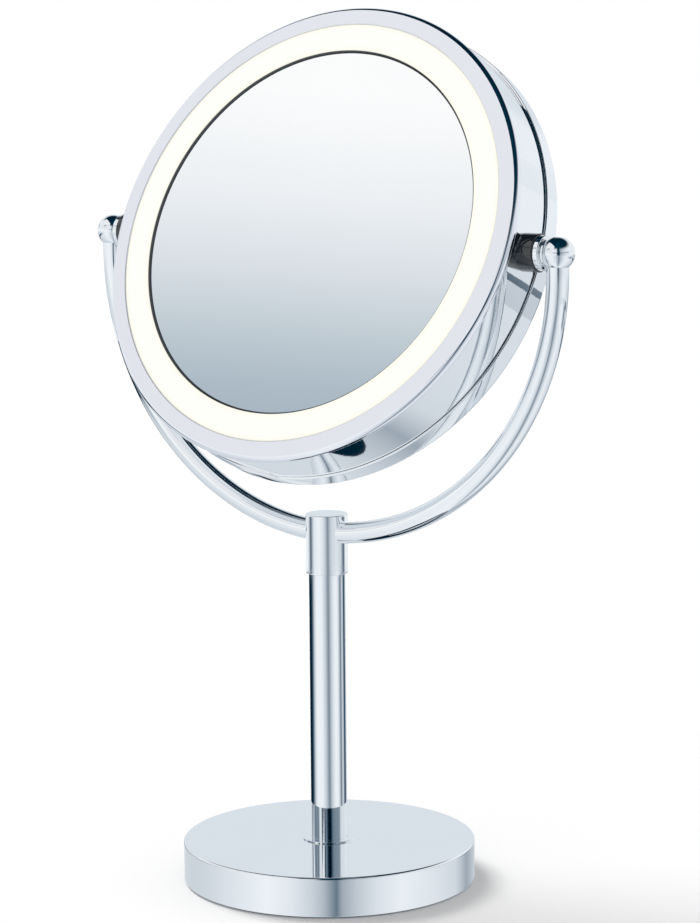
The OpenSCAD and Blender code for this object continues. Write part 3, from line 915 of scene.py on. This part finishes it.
@dataclass
class Yoke:
    """The collar on the stem, the bent rod through it, and the balls and rings on its arms."""

    workshop: Workshop
    collar_edge: float = 0.35 * MM
    rod_edge: float = 0.4 * MM
    sleeve_wall: float = 0.7 * MM
    seat_gap: float = 0.1 * MM
    socket_share: float = 0.88
    ring_edge: float = 0.5 * MM
    neck: float = 4.6 * MM
    neck_edge: float = 0.3 * MM
    neck_share: float = 0.98
    bend_steps: int = 160
    arm_steps: int = 4
    ball_steps: int = 40

    def build(self) -> None:
        """Makes the collar, the rod and both arm ends."""
        self._collar()
        self._rod()
        for side in Side:
            self._ball(side)
            self._ring(side)

    def _collar(self) -> None:
        """Makes the collar: a flat cap and a thin sleeve round the stem's top."""
        low, high = STEM_AXIS.span("yoke_collar")
        r = STEM_AXIS.reach("yoke_collar")
        sleeve = r - self.sleeve_wall
        seat = STEM_AXIS.span("swivel_bush")[1] + self.seat_gap
        pin = STEM_AXIS.reach("swivel_pin") * self.socket_share
        pin_top = STEM_AXIS.span("swivel_pin")[1]
        outline = Outline([
            Corner(0, pin_top), Corner(pin, pin_top),
            Corner(pin, seat), Corner(sleeve, seat), Corner(sleeve, low, self.collar_edge / 2),
            Corner(r, low, self.collar_edge / 2), Corner(r, high, self.collar_edge), Corner(0, high),
        ], steps=8)
        collar = turn_solid("collar", outline, STEM_AXIS.place, around=192)
        self.workshop.fit(collar, Body.YOKE, ["yoke_collar"], "chrome")

    def _rod(self) -> None:
        """Makes the bent rod: half a circle with a short straight arm at each end."""
        low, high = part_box("yoke_rod")
        radius = high.y
        arc = high.x - radius
        middle = low.z + radius + arc
        turns = [math.pi * k / self.bend_steps for k in range(self.bend_steps + 1)]
        bend = [Vector((-arc * math.cos(a), 0, middle - arc * math.sin(a))) for a in turns]
        lift = (high.z - middle) / self.arm_steps
        left = [Vector((-arc, 0, high.z - lift * k)) for k in range(self.arm_steps)]
        right = [Vector((arc, 0, high.z - lift * k)) for k in reversed(range(self.arm_steps))]
        rod = sweep_rod("bent_rod", left + bend + right, radius, self.rod_edge)
        self.workshop.fit(rod, Body.YOKE, ["yoke_rod"], "chrome")

    def _ball(self, side: Side) -> None:
        """Makes the ball on one arm, with its short neck towards the head.

        Args:
            side: The arm.
        """
        node = f"pivot_ball_{side.word}"
        axis = Axis(PIVOT, Vector((side.value, 0, 0)))
        low, high = axis.span(node)
        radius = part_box(node)[1].y
        centre = high - radius
        start = math.asin(self.neck * self.neck_share / radius)
        turns = [start + (math.pi - start) * k / self.ball_steps for k in range(self.ball_steps)]
        corners = [Corner(0, low), Corner(self.neck, low, self.neck_edge)]
        corners += [Corner(radius * math.sin(a), centre - radius * math.cos(a)) for a in turns]
        corners.append(Corner(0, high))
        ball = turn_solid(f"arm_ball_{side.word}", SmoothOutline(corners, smooth_from=2), axis.place, 128)
        self.workshop.fit(ball, Body.YOKE, [node], "chrome")

    def _ring(self, side: Side) -> None:
        """Makes the thin ring between one ball and the spacer.

        Args:
            side: The arm.
        """
        node = f"pivot_ring_{side.word}"
        axis = Axis(PIVOT, Vector((side.value, 0, 0)))
        low, high = axis.span(node)
        r = axis.reach(node)
        outline = Outline([
            Corner(axis.bore(node), low), Corner(r, low, self.ring_edge / 2),
            Corner(r, high, self.ring_edge), Corner(axis.bore(node), high),
        ], steps=6)
        ring = turn_solid(f"arm_ring_{side.word}", outline, axis.place, around=128)
        self.workshop.fit(ring, Body.YOKE, [node], "chrome")


class SmoothOutline(Outline):
    """An outline whose later corners lie on one smooth curve, with shared normals."""

    def __init__(self, corners: Sequence[Corner], smooth_from: int, steps: int = 8) -> None:
        """Keeps the corners and where the smooth curve starts.

        Args:
            corners: The outline's corners.
            smooth_from: The index of the curve's first corner; it runs to the last one.
            steps: Steps in each rounding before it.
        """
        super().__init__(corners, steps)
        self.smooth_from = smooth_from

    def edges(self) -> list[tuple[Vector, Vector, Vector, Vector]]:
        """Walks round the outline with one normal at each corner of the smooth curve.

        Returns:
            For each short edge its start, its end and the outward normals at both.
        """
        walk = super().edges()
        places = [Vector((c.r, c.z)) for c in self.corners[self.smooth_from:]]
        normals = []
        for i, place in enumerate(places):
            before = places[max(0, i - 1)]
            after = places[min(len(places) - 1, i + 1)]
            normals.append(self._right_of(after - before))
        normals[-1] = Vector((0, 1)) if normals[-1].y > 0 else Vector((0, -1))
        smooth = []
        for start, end, n0, n1 in walk:
            for i, place in enumerate(places):
                if i and max((place - end).length, (places[i - 1] - start).length) < SAME_POINT:
                    n0, n1 = normals[i - 1], normals[i]
            smooth.append((start, end, n0, n1))
        return smooth


@dataclass
class Head:
    """The lit head: drum, front bezel, light ring, flat glass and the two pivot spacers."""

    workshop: Workshop
    wall: float = 1.2 * MM
    drum_edge: float = 0.2 * MM
    button_lap: float = 0.3 * MM
    cut_reach: float = 5.0 * MM
    bezel_depth: float = 2.3 * MM
    bezel_skirt: float = 1.0 * MM
    bezel_rim: float = 0.25 * MM
    lip_edge: float = 0.4 * MM
    lip_round: float = 1.9 * MM
    face_fall: float = 0.75 * MM
    seam: float = 0.1 * MM
    glass_bevel: float = 0.25 * MM
    light_overhang: float = 0.5 * MM
    light_flange: float = 1.4 * MM
    light_outer_edge: float = 0.3 * MM
    light_inner_edge: float = 0.5 * MM
    spacer_edge: float = 0.4 * MM
    spacer_sink: float = 0.7 * MM
    sleeve: float = 3.2 * MM
    sleeve_room: float = 0.02 * MM

    def build(self) -> None:
        """Makes every visible piece of the head."""
        self._drum()
        self._bezel()
        self._light()
        self._glass()
        for side in Side:
            self._spacer(side)

    def _drum(self) -> None:
        """Makes the drum with the holes for its button and its two pivots."""
        low, high = FACE_AXIS.span("drum_shell")
        r = FACE_AXIS.reach("drum_shell")
        outline = Outline([
            Corner(r - self.wall, low), Corner(r, low, self.drum_edge),
            Corner(r, high, self.drum_edge), Corner(r - self.wall, high),
        ], steps=4)
        drum = turn_solid("drum", outline, FACE_AXIS.place, around=360)
        near, far = r - self.cut_reach, r + self.cut_reach
        axis = button_axis()
        cut_round_hole(drum, axis, axis.reach("power_button") - self.button_lap, near, far)
        for side in Side:
            pivot = Axis(PIVOT, Vector((side.value, 0, 0)))
            cut_round_hole(drum, pivot, self.sleeve + self.sleeve_room, near, far)
        self.workshop.fit(drum, Body.HEAD, ["drum_shell"], "chrome")

    def _bezel(self) -> None:
        """Makes the front bezel: a face that falls away slightly and a full, rounded lip."""
        low, high = FACE_AXIS.span("front_bezel")
        r = FACE_AXIS.reach("front_bezel")
        inner = FACE_AXIS.bore("front_bezel")
        skirt = FACE_AXIS.reach("drum_shell") - self.wall
        lip = FACE_AXIS.span("drum_shell")[1] + self.seam
        under = high - self.bezel_depth
        outline = Outline([
            Corner(skirt - self.bezel_skirt, under), Corner(skirt - self.bezel_skirt, low),
            Corner(skirt - self.seam, low), Corner(skirt - self.seam, lip),
            Corner(r, lip, self.lip_edge), Corner(r, high - self.face_fall, self.lip_round),
            Corner(inner, high, self.bezel_rim), Corner(inner, under),
        ], steps=14)
        bezel = turn_solid("front_ring", outline, FACE_AXIS.place, around=360)
        self.workshop.fit(bezel, Body.HEAD, ["front_bezel"], "bezel_chrome")

    def _light(self) -> None:
        """Makes the opal ring that glows round the glass."""
        low, high = FACE_AXIS.span("light_ring")
        inner = FACE_AXIS.bore("light_ring") - self.light_overhang
        flange = FACE_AXIS.reach("light_ring")
        outer = FACE_AXIS.bore("front_bezel") - self.seam
        step = low + self.light_flange
        outline = Outline([
            Corner(inner, low), Corner(flange, low), Corner(flange, step), Corner(outer, step),
            Corner(outer, high, self.light_outer_edge), Corner(inner, high, self.light_inner_edge),
        ], steps=6)
        light = turn_solid("opal_ring", outline, FACE_AXIS.place, around=360)
        self.workshop.fit(light, Body.HEAD, ["light_ring"], "light_diffuser")

    def _glass(self) -> None:
        """Makes the flat silvered glass with a fine ground edge."""
        low, high = FACE_AXIS.span("front_glass")
        r = FACE_AXIS.reach("front_glass")
        bevel = self.glass_bevel
        outline = Outline([
            Corner(0, low), Corner(r, low), Corner(r, high - bevel), Corner(r - bevel, high),
            Corner(0, high),
        ])
        glass = turn_solid("flat_mirror", outline, FACE_AXIS.place, around=360)
        self.workshop.fit(glass, Body.HEAD, ["front_glass"], "mirror_glass")

    def _spacer(self, side: Side) -> None:
        """Makes the dark spacer between the drum and one ring.

        Args:
            side: The arm that it faces.
        """
        node = f"pivot_bush_{side.word}"
        axis = Axis(PIVOT, Vector((side.value, 0, 0)))
        low, high = axis.span(node)
        r = axis.reach(node)
        sleeve = self.sleeve
        bore = axis.bore(node)
        wall = FACE_AXIS.reach("drum_shell") - self.spacer_sink
        outline = Outline([
            Corner(bore, low), Corner(sleeve, low), Corner(sleeve, wall), Corner(r, wall),
            Corner(r, high, self.spacer_edge), Corner(bore, high),
        ], steps=6)
        spacer = turn_solid(f"pivot_spacer_{side.word}", outline, axis.place, around=128)
        self.workshop.fit(spacer, Body.HEAD, [node], "dark_spacer")


@dataclass
class RearMirror:
    """The pull-off rear: its bezel and the concave magnifying glass."""

    workshop: Workshop
    wall: float = 1.2 * MM
    plate: float = 1.4 * MM
    edge: float = 1.6 * MM
    seam_edge: float = 0.2 * MM
    inner_edge: float = 0.4 * MM
    glass_thickness: float = 2.0 * MM
    dish_steps: int = 48

    def build(self) -> None:
        """Makes the bezel and the magnifying glass."""
        back = Axis(PIVOT, BACKWARDS)
        self._bezel(back)
        self._glass(back)

    def _bezel(self, back: Axis) -> None:
        """Makes the rear bezel with a rounded outer edge.

        Args:
            back: The face's line, pointing backwards.
        """
        low, high = back.span("rear_bezel")
        r = back.reach("rear_bezel")
        inner = back.bore("rear_bezel")
        outline = Outline([
            Corner(r - self.wall, high - self.plate), Corner(r - self.wall, low),
            Corner(r, low, self.seam_edge), Corner(r, high, self.edge),
            Corner(inner, high, self.inner_edge), Corner(inner, high - self.plate),
        ], steps=12)
        bezel = turn_solid("rear_ring", outline, back.place, around=360)
        self.workshop.fit(bezel, Body.REAR_MIRROR, ["rear_bezel"], "chrome")

    def _glass(self, back: Axis) -> None:
        """Makes the concave glass, a dish of even thickness.

        Args:
            back: The face's line, pointing backwards.
        """
        low, high = back.span("magnifying_glass")
        r = back.reach("magnifying_glass")
        sag = high - low - self.glass_thickness
        curve = (r * r + sag * sag) / (2 * sag)
        centre = high - sag + curve
        radii = [r * k / self.dish_steps for k in range(self.dish_steps + 1)]
        front = [Corner(q, centre - math.sqrt(curve * curve - q * q)) for q in reversed(radii)]
        rear = [Corner(c.r, c.z - self.glass_thickness) for c in reversed(front)]
        dish = turn_solid("magnifying_mirror", DishOutline(rear + front, curve, centre),
                          back.place, around=256)
        self.workshop.fit(dish, Body.REAR_MIRROR, ["magnifying_glass"], "magnifier_glass")


class DishOutline(Outline):
    """The half section of a dish, whose two faces follow spheres with one centre."""

    def __init__(self, corners: Sequence[Corner], curve: float, centre: float) -> None:
        """Keeps the dish's curve.

        Args:
            corners: The outline's corners.
            curve: The radius of the hollow face.
            centre: The height of the spheres' centre.
        """
        super().__init__(corners)
        self.curve = curve
        self.centre = centre

    def edges(self) -> list[tuple[Vector, Vector, Vector, Vector]]:
        """Walks round the outline with the spheres' own normals on both faces.

        Returns:
            For each short edge its start, its end and the outward normals at both.
        """
        centre = Vector((0, self.centre))
        walk = []
        for start, end, n0, n1 in super().edges():
            if abs(start.x - end.x) > 1e-6:
                hollow = self._right_of(end - start).dot(centre - start) > 0
                sign = 1 if hollow else -1
                n0 = (centre - start).normalized() * sign
                n1 = (centre - end).normalized() * sign
            walk.append((start, end, n0, n1))
        return walk


def button_axis() -> Axis:
    """Gives the line that the power button slides on, pointing out of the drum.

    Returns:
        The line, through the tilting axis's middle plane.
    """
    outwards = -Vector(joint("power_button_press")["axis"]).normalized()
    low, high = FACE_AXIS.span("switch_plunger")
    return Axis(PIVOT + FACE_AXIS.direction * ((low + high) / 2), outwards)


@dataclass
class PowerButton:
    """The push button in the drum's side."""

    workshop: Workshop
    edge: float = 0.7 * MM
    flange: float = 1.4 * MM
    flange_lap: float = 0.6 * MM

    def build(self) -> None:
        """Makes the button's cap with its hidden flange."""
        axis = button_axis()
        low, high = axis.span("power_button")
        flange_r = axis.reach("power_button")
        r = flange_r - self.flange_lap
        outline = Outline([
            Corner(0, low), Corner(flange_r, low), Corner(flange_r, low + self.flange),
            Corner(r, low + self.flange), Corner(r, high, self.edge), Corner(0, high),
        ], steps=8)
        cap = turn_solid("push_button", outline, axis.place, around=96)
        self.workshop.fit(cap, Body.POWER_BUTTON, ["power_button"], "chrome")


@dataclass
class InnerWorks:
    """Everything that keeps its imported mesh: it only gets its finish."""

    workshop: Workshop

    def build(self) -> None:
        """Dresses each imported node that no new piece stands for."""
        slots = {part["node"]: part["material_slot"] for part in frame["record"]["subparts"]}
        for node, obj in sorted(frame["nodes"].items()):
            if obj.hide_render:
                continue
            self.workshop.dress(obj, slots[node])
            LOG.info("%s: packed mesh, %s", node, slots[node])


# ---------------------------------------------------------------- stage

Tone = tuple[float, float, float]
VIEW_AZIMUTH = 35.78


def cool(level: float, cast: float = 0.075) -> Tone:
    """Makes a slightly blue grey, most blue in its middle tones.

    Args:
        level: How light it is, 0 to 1.
        cast: How much bluer than grey a middle tone is.

    Returns:
        The colour.
    """
    lean = cast * level / (level + 0.06) * (1.15 - 0.6 * level)
    return (max(0.0, level - lean), level, min(1.0, level + lean))


def around_view(weave: Weave, stops: Sequence[tuple[float, Tone]]) -> bpy.types.NodeSocket:
    """Colours a surface by its bearing round the mirror.

    Args:
        weave: The material being wired.
        stops: Bearings in degrees, 0 in front and more to the right, each with a colour.

    Returns:
        The colour socket.
    """
    turned = weave.node("Mapping", Vector=weave.node("TexCoord").outputs["Object"],
                        Rotation=(0, 0, math.radians(90 - VIEW_AZIMUTH)))
    sweep = weave.node("TexGradient", Vector=turned.outputs["Vector"])
    sweep.gradient_type = "RADIAL"
    return weave.tint(sweep.outputs["Fac"], [(bearing / 360 + 0.5, tone) for bearing, tone in stops])


def hide_from_eye(obj: bpy.types.Object) -> None:
    """Leaves a stage piece to reflections alone.

    Args:
        obj: The stage piece.
    """
    obj.visible_camera = False
    obj.visible_diffuse = False
    obj.visible_shadow = False
    obj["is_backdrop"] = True


@dataclass
class CurvedCard:
    """An upright strip all round the mirror, which only reflections see."""

    name: str
    radius: float
    low: float
    high: float
    stops: Sequence[tuple[float, Tone]]
    steps: int

    def build(self) -> None:
        """Stands the strip on the stage."""
        bm = bmesh.new()
        columns = []
        for k in range(self.steps + 1):
            a = math.radians(VIEW_AZIMUTH - 180 + 360 * k / self.steps)
            x, y = self.radius * math.sin(a), -self.radius * math.cos(a)
            columns.append((bm.verts.new((x, y, self.low)), bm.verts.new((x, y, self.high))))
        for (a0, a1), (b0, b1) in zip(columns, columns[1:]):
            bm.faces.new((a0, b0, b1, a1))
        mesh = bpy.data.meshes.new(self.name)
        bm.to_mesh(mesh)
        bm.free()
        card = add_object(self.name, mesh)
        weave = Weave(self.name)
        tone = around_view(weave, self.stops)
        card.data.materials.append(weave.close(weave.node("Emission", Color=tone, Strength=1.0)))
        hide_from_eye(card)


@dataclass
class FlatCard:
    """A flat panel, graded from its foot to its top, which only reflections see."""

    name: str
    azimuth: float
    distance: float
    height: float
    width: float
    tall: float
    stops: Sequence[tuple[float, Tone]]
    roll: float = 0.0

    def build(self) -> None:
        """Stands the panel on the stage, facing the mirror."""
        bm = bmesh.new()
        x, z = self.width / 2, self.tall / 2
        bm.faces.new([bm.verts.new(c) for c in ((-x, 0, -z), (x, 0, -z), (x, 0, z), (-x, 0, z))])
        mesh = bpy.data.meshes.new(self.name)
        bm.to_mesh(mesh)
        bm.free()
        card = add_object(self.name, mesh)
        a = math.radians(self.azimuth)
        spot = Vector((math.sin(a) * self.distance, -math.cos(a) * self.distance, self.height))
        card.matrix_world = (Matrix.Translation(spot) @ Matrix.Rotation(a, 4, "Z")
                             @ Matrix.Rotation(math.radians(self.roll), 4, "Y"))
        weave = Weave(self.name)
        split = weave.node("SeparateXYZ", Vector=weave.node("TexCoord").outputs["Generated"])
        tone = weave.tint(split.outputs["Z"], self.stops)
        card.data.materials.append(weave.close(weave.node("Emission", Color=tone, Strength=1.0)))
        hide_from_eye(card)


@dataclass
class Dome:
    """The far studio as the chrome sees it: rings of tones for its floor, walls and ceiling."""

    radius: float = 6.0
    floor_tones: Sequence[tuple[float, Tone]] = ()
    wall_tones: Sequence[tuple[float, Tone]] = ()
    ceiling_tones: Sequence[tuple[float, Tone]] = ()
    floor_meets_wall: tuple[float, float] = (-6.0, -1.0)
    wall_meets_ceiling: tuple[float, float] = (30.0, 50.0)

    def build(self) -> None:
        """Makes the dome round the stage."""
        bm = bmesh.new()
        bmesh.ops.create_uvsphere(bm, u_segments=64, v_segments=32, radius=self.radius)
        mesh = bpy.data.meshes.new("studio_dome")
        bm.to_mesh(mesh)
        bm.free()
        dome = add_object("studio_dome", mesh)
        weave = Weave("studio_dome")
        height = weave.node("SeparateXYZ", Vector=weave.node("TexCoord").outputs["Object"]).outputs["Z"]
        lower = self._join(weave, height, self.floor_meets_wall,
                           around_view(weave, self.floor_tones), around_view(weave, self.wall_tones))
        tone = self._join(weave, height, self.wall_meets_ceiling, lower,
                          around_view(weave, self.ceiling_tones))
        dome.data.materials.append(weave.close(weave.node("Emission", Color=tone, Strength=1.0)))
        hide_from_eye(dome)

    def _join(self, weave: Weave, height: bpy.types.NodeSocket, band: tuple[float, float],
              below: bpy.types.NodeSocket, above: bpy.types.NodeSocket) -> bpy.types.NodeSocket:
        """Blends one ring of tones into the next over a band of elevations.

        Args:
            weave: The material being wired.
            height: The height over the dome's centre.
            band: The elevations where the blend starts and ends, in degrees.
            below: The lower tones.
            above: The upper tones.

        Returns:
            The blended colour.
        """
        part = weave.node("MapRange", Value=height)
        part.interpolation_type = "SMOOTHSTEP"
        part.inputs["From Min"].default_value = self.radius * math.sin(math.radians(band[0]))
        part.inputs["From Max"].default_value = self.radius * math.sin(math.radians(band[1]))
        mix = weave.node("MixRGB", Fac=part.outputs["Result"], Color1=below, Color2=above)
        return mix.outputs["Color"]


FLOOR_TONES = [
    (-180, cool(0.75)), (-138, cool(0.70)), (-112, cool(0.74)), (-60, cool(0.92)), (-50, cool(0.97)),
    (-30, cool(0.88)), (-15, cool(0.72)), (-5, cool(0.55)), (0, cool(0.38)), (5.5, cool(0.20)),
    (10, cool(0.44)), (22, cool(0.64)), (38, cool(0.82)), (58, cool(0.94)), (86, cool(0.86)),
    (118, cool(0.74)), (138, cool(0.42)), (152, cool(0.55)), (180, cool(0.75)),
]
BASE_TOP_TONE = (0.745, 0.80, 0.855)
FOOT_TONES = [
    (-180, BASE_TOP_TONE), (-150, BASE_TOP_TONE), (-134, cool(0.30)), (-126, cool(0.12)),
    (-110, cool(0.55)), (-100, cool(0.18)), (-84, cool(0.32)), (-74, cool(0.20)), (-66, cool(0.55)),
    (-58, cool(1.0)), (-51, cool(0.75)), (-45, cool(0.16)), (-36, cool(0.012)), (-28, cool(0.05)),
    (-19, cool(0.26)), (-10, cool(0.06)), (-4, cool(0.006)), (9, cool(0.004)), (15, cool(0.04)),
    (21, cool(0.16)), (30, cool(0.25)), (70, cool(0.32)), (80, cool(0.80)), (146, cool(0.93)),
    (154, BASE_TOP_TONE), (180, BASE_TOP_TONE),
]
WALL_TONES = [
    (-180, BASE_TOP_TONE), (-150, BASE_TOP_TONE), (-130, cool(0.97)), (-60, cool(1.0)),
    (-22, cool(0.92)), (-12, cool(0.80)), (-6, cool(0.06)), (8, cool(0.03)), (14, cool(0.42)),
    (30, cool(0.60)), (56, cool(0.84)), (90, cool(0.93)), (146, cool(0.93)), (154, BASE_TOP_TONE),
    (180, BASE_TOP_TONE),
]
CEILING_TONES = [(-180, cool(0.015)), (-60, cool(0.015)), (0, cool(0.03)), (60, cool(0.02)),
                 (180, cool(0.015))]
STEM_TONES = [
    (-180, cool(0.50)), (-164, cool(0.02)), (-130, cool(0.01)), (-114, cool(0.06)), (-102, cool(0.32)),
    (-90, cool(0.72)), (-72, cool(0.98)), (-38, cool(0.96)), (-25, cool(0.80)), (-12, cool(0.62)),
    (0, cool(0.36)), (6, cool(0.27)), (13, cool(0.42)), (22, cool(0.64)), (38, cool(0.88)),
    (54, cool(0.98)), (67, cool(0.90)), (76, cool(0.66)), (84, cool(0.36)), (91, cool(0.18)),
    (98, cool(0.58)), (110, cool(0.70)), (121, cool(0.10)), (138, cool(0.07)), (150, cool(0.70)),
    (180, cool(0.50)),
]
COLLAR_TONES = [
    (-180, cool(0.90)), (-128, cool(0.98)), (-112, cool(0.60)), (-98, cool(0.08)), (-86, cool(0.50)),
    (-72, cool(0.88)), (-44, cool(0.98)), (-22, cool(0.84)), (-8, cool(0.62)), (5, cool(0.27)),
    (14, cool(0.50)), (26, cool(0.72)), (55, cool(0.84)), (82, cool(0.70)), (92, cool(0.40)),
    (103, cool(0.07)), (114, cool(0.60)), (124, cool(0.98)), (180, cool(0.85)),
]
GLASS_TONES = [
    (0.10, (0.40, 0.475, 0.545)), (0.184, (0.43, 0.51, 0.58)), (0.304, (0.55, 0.62, 0.67)),
    (0.424, (0.70, 0.745, 0.79)), (0.604, (0.87, 0.89, 0.915)), (0.843, (1.0, 1.0, 1.0)),
]
GLASS_ROLL = -31.0
BEZEL_TONES = [(0.0, (0.86, 0.88, 0.915)), (1.0, (0.90, 0.91, 0.94))]


@dataclass
class Studio:
    """A white studio: a pale floor, one soft lamp, and a dome and cards for the chrome to reflect."""

    floor_size: float = 14.0
    floor_colour: Tone = (0.834, 0.831, 0.828)
    fill: float = 0.72
    key_strength: float = 2.0
    key_spread: float = 30.0
    key_from: tuple[float, float, float] = (-0.75, 0.10, 1.0)
    band_radius: float = 2.0
    band_steps: int = 180
    stem_band: tuple[float, float] = (-0.520, -0.2752)
    collar_band: tuple[float, float] = (-0.2750, -0.205)
    foot_band: tuple[float, float] = (0.520, 0.660)
    face_bearing: float = -42.2

    def build(self) -> None:
        """Makes the floor, the world, the lamp, the dome and the cards."""
        self._floor()
        self._world()
        self._key()
        Dome(floor_tones=FLOOR_TONES, wall_tones=WALL_TONES, ceiling_tones=CEILING_TONES).build()
        for name, (low, high), tones in (("stem_card", self.stem_band, STEM_TONES),
                                         ("collar_card", self.collar_band, COLLAR_TONES),
                                         ("foot_card", self.foot_band, FOOT_TONES)):
            CurvedCard(name, self.band_radius, low, high, tones, self.band_steps).build()
        FlatCard("glass_card", self.face_bearing, distance=0.62, height=0.647, width=0.32, tall=0.30,
                 stops=GLASS_TONES, roll=GLASS_ROLL).build()
        FlatCard("bezel_card", self.face_bearing, distance=0.80, height=1.00, width=1.70, tall=1.40,
                 stops=BEZEL_TONES).build()

    def _floor(self) -> None:
        """Makes the pale floor, which keeps the mirror's shadow."""
        half = self.floor_size / 2
        bm = bmesh.new()
        bm.faces.new([bm.verts.new(c) for c in
                      ((-half, -half, 0), (half, -half, 0), (half, half, 0), (-half, half, 0))])
        mesh = bpy.data.meshes.new("floor")
        bm.to_mesh(mesh)
        bm.free()
        floor = add_object("floor", mesh)
        weave = Weave("floor")
        floor.data.materials.append(
            weave.close(weave.node("BsdfDiffuse", Color=(*self.floor_colour, 1))))
        floor.visible_glossy = False
        floor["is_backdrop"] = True

    def _world(self) -> None:
        """Wires the surroundings: white to the eye and in metal and glass, a soft fill elsewhere."""
        world = bpy.data.worlds.new("studio")
        world.use_nodes = True
        bpy.context.scene.world = world
        tree = world.node_tree
        tree.nodes.clear()
        output = tree.nodes.new("ShaderNodeOutputWorld")
        white = tree.nodes.new("ShaderNodeBackground")
        white.inputs["Color"].default_value = (1, 1, 1, 1)
        soft = tree.nodes.new("ShaderNodeBackground")
        soft.inputs["Color"].default_value = (1, 1, 1, 1)
        soft.inputs["Strength"].default_value = self.fill
        path = tree.nodes.new("ShaderNodeLightPath")
        seen = path.outputs["Is Camera Ray"]
        for ray in ("Is Glossy Ray", "Is Transmission Ray"):
            either = tree.nodes.new("ShaderNodeMath")
            either.operation = "MAXIMUM"
            tree.links.new(seen, either.inputs[0])
            tree.links.new(path.outputs[ray], either.inputs[1])
            seen = either.outputs["Value"]
        choice = tree.nodes.new("ShaderNodeMixShader")
        tree.links.new(seen, choice.inputs["Fac"])
        tree.links.new(soft.outputs["Background"], choice.inputs[1])
        tree.links.new(white.outputs["Background"], choice.inputs[2])
        tree.links.new(choice.outputs["Shader"], output.inputs["Surface"])

    def _key(self) -> None:
        """Hangs the soft lamp that throws the base's shadow to the right."""
        lamp = bpy.data.lights.new("key", "SUN")
        lamp.energy = self.key_strength
        lamp.angle = math.radians(self.key_spread)
        obj = bpy.data.objects.new("key", lamp)
        obj.rotation_euler = Vector(self.key_from).to_track_quat("Z", "Y").to_euler()
        obj.visible_glossy = False
        bpy.context.scene.collection.objects.link(obj)


@dataclass
class CameraRig:
    """The camera: where it stands round the mirror and how it is aimed."""

    azimuth: float = VIEW_AZIMUTH
    elevation: float = 8.855
    roll: float = -0.432
    distance: float = 1.0701
    aim_height: float = 0.150
    aside: float = -0.00826
    above: float = 0.00204
    lens: float = 121.01
    sensor: float = 36.0
    nearest: float = 0.01
    farthest: float = 100.0

    def build(self) -> None:
        """Sets up the scene's camera."""
        a, e, t = (math.radians(v) for v in (self.azimuth, self.elevation, self.roll))
        back = Vector((math.sin(a) * math.cos(e), -math.cos(a) * math.cos(e), math.sin(e)))
        level = Vector((math.cos(a), math.sin(a), 0))
        over = back.cross(level)
        right = level * math.cos(t) + over * math.sin(t)
        up = over * math.cos(t) - level * math.sin(t)
        spot = Vector((0, 0, self.aim_height)) + back * self.distance
        spot -= right * self.aside + up * self.above
        data = bpy.data.cameras.new("camera")
        data.lens = self.lens
        data.sensor_width = self.sensor
        data.clip_start = self.nearest
        data.clip_end = self.farthest
        camera = bpy.data.objects.new("camera", data)
        camera.matrix_world = Matrix(((right.x, up.x, back.x, spot.x), (right.y, up.y, back.y, spot.y),
                                      (right.z, up.z, back.z, spot.z), (0, 0, 0, 1)))
        bpy.context.scene.collection.objects.link(camera)
        bpy.context.scene.camera = camera


# ---------------------------------------------------------------- all together


def main(packed: tuple[Vector, Vector]) -> None:
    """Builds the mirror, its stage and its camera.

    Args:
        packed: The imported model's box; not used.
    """
    logging.basicConfig(level=logging.INFO, format="%(name)s: %(message)s")
    bpy.context.scene.view_settings.view_transform = "Standard"
    CameraRig().build()
    workshop = plan_finishes()
    for part in (Base(workshop), Stem(workshop), Yoke(workshop), Head(workshop),
                 RearMirror(workshop), PowerButton(workshop), InnerWorks(workshop)):
        part.build()
    Studio().build()


if __name__ == "__main__":
    main(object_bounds())
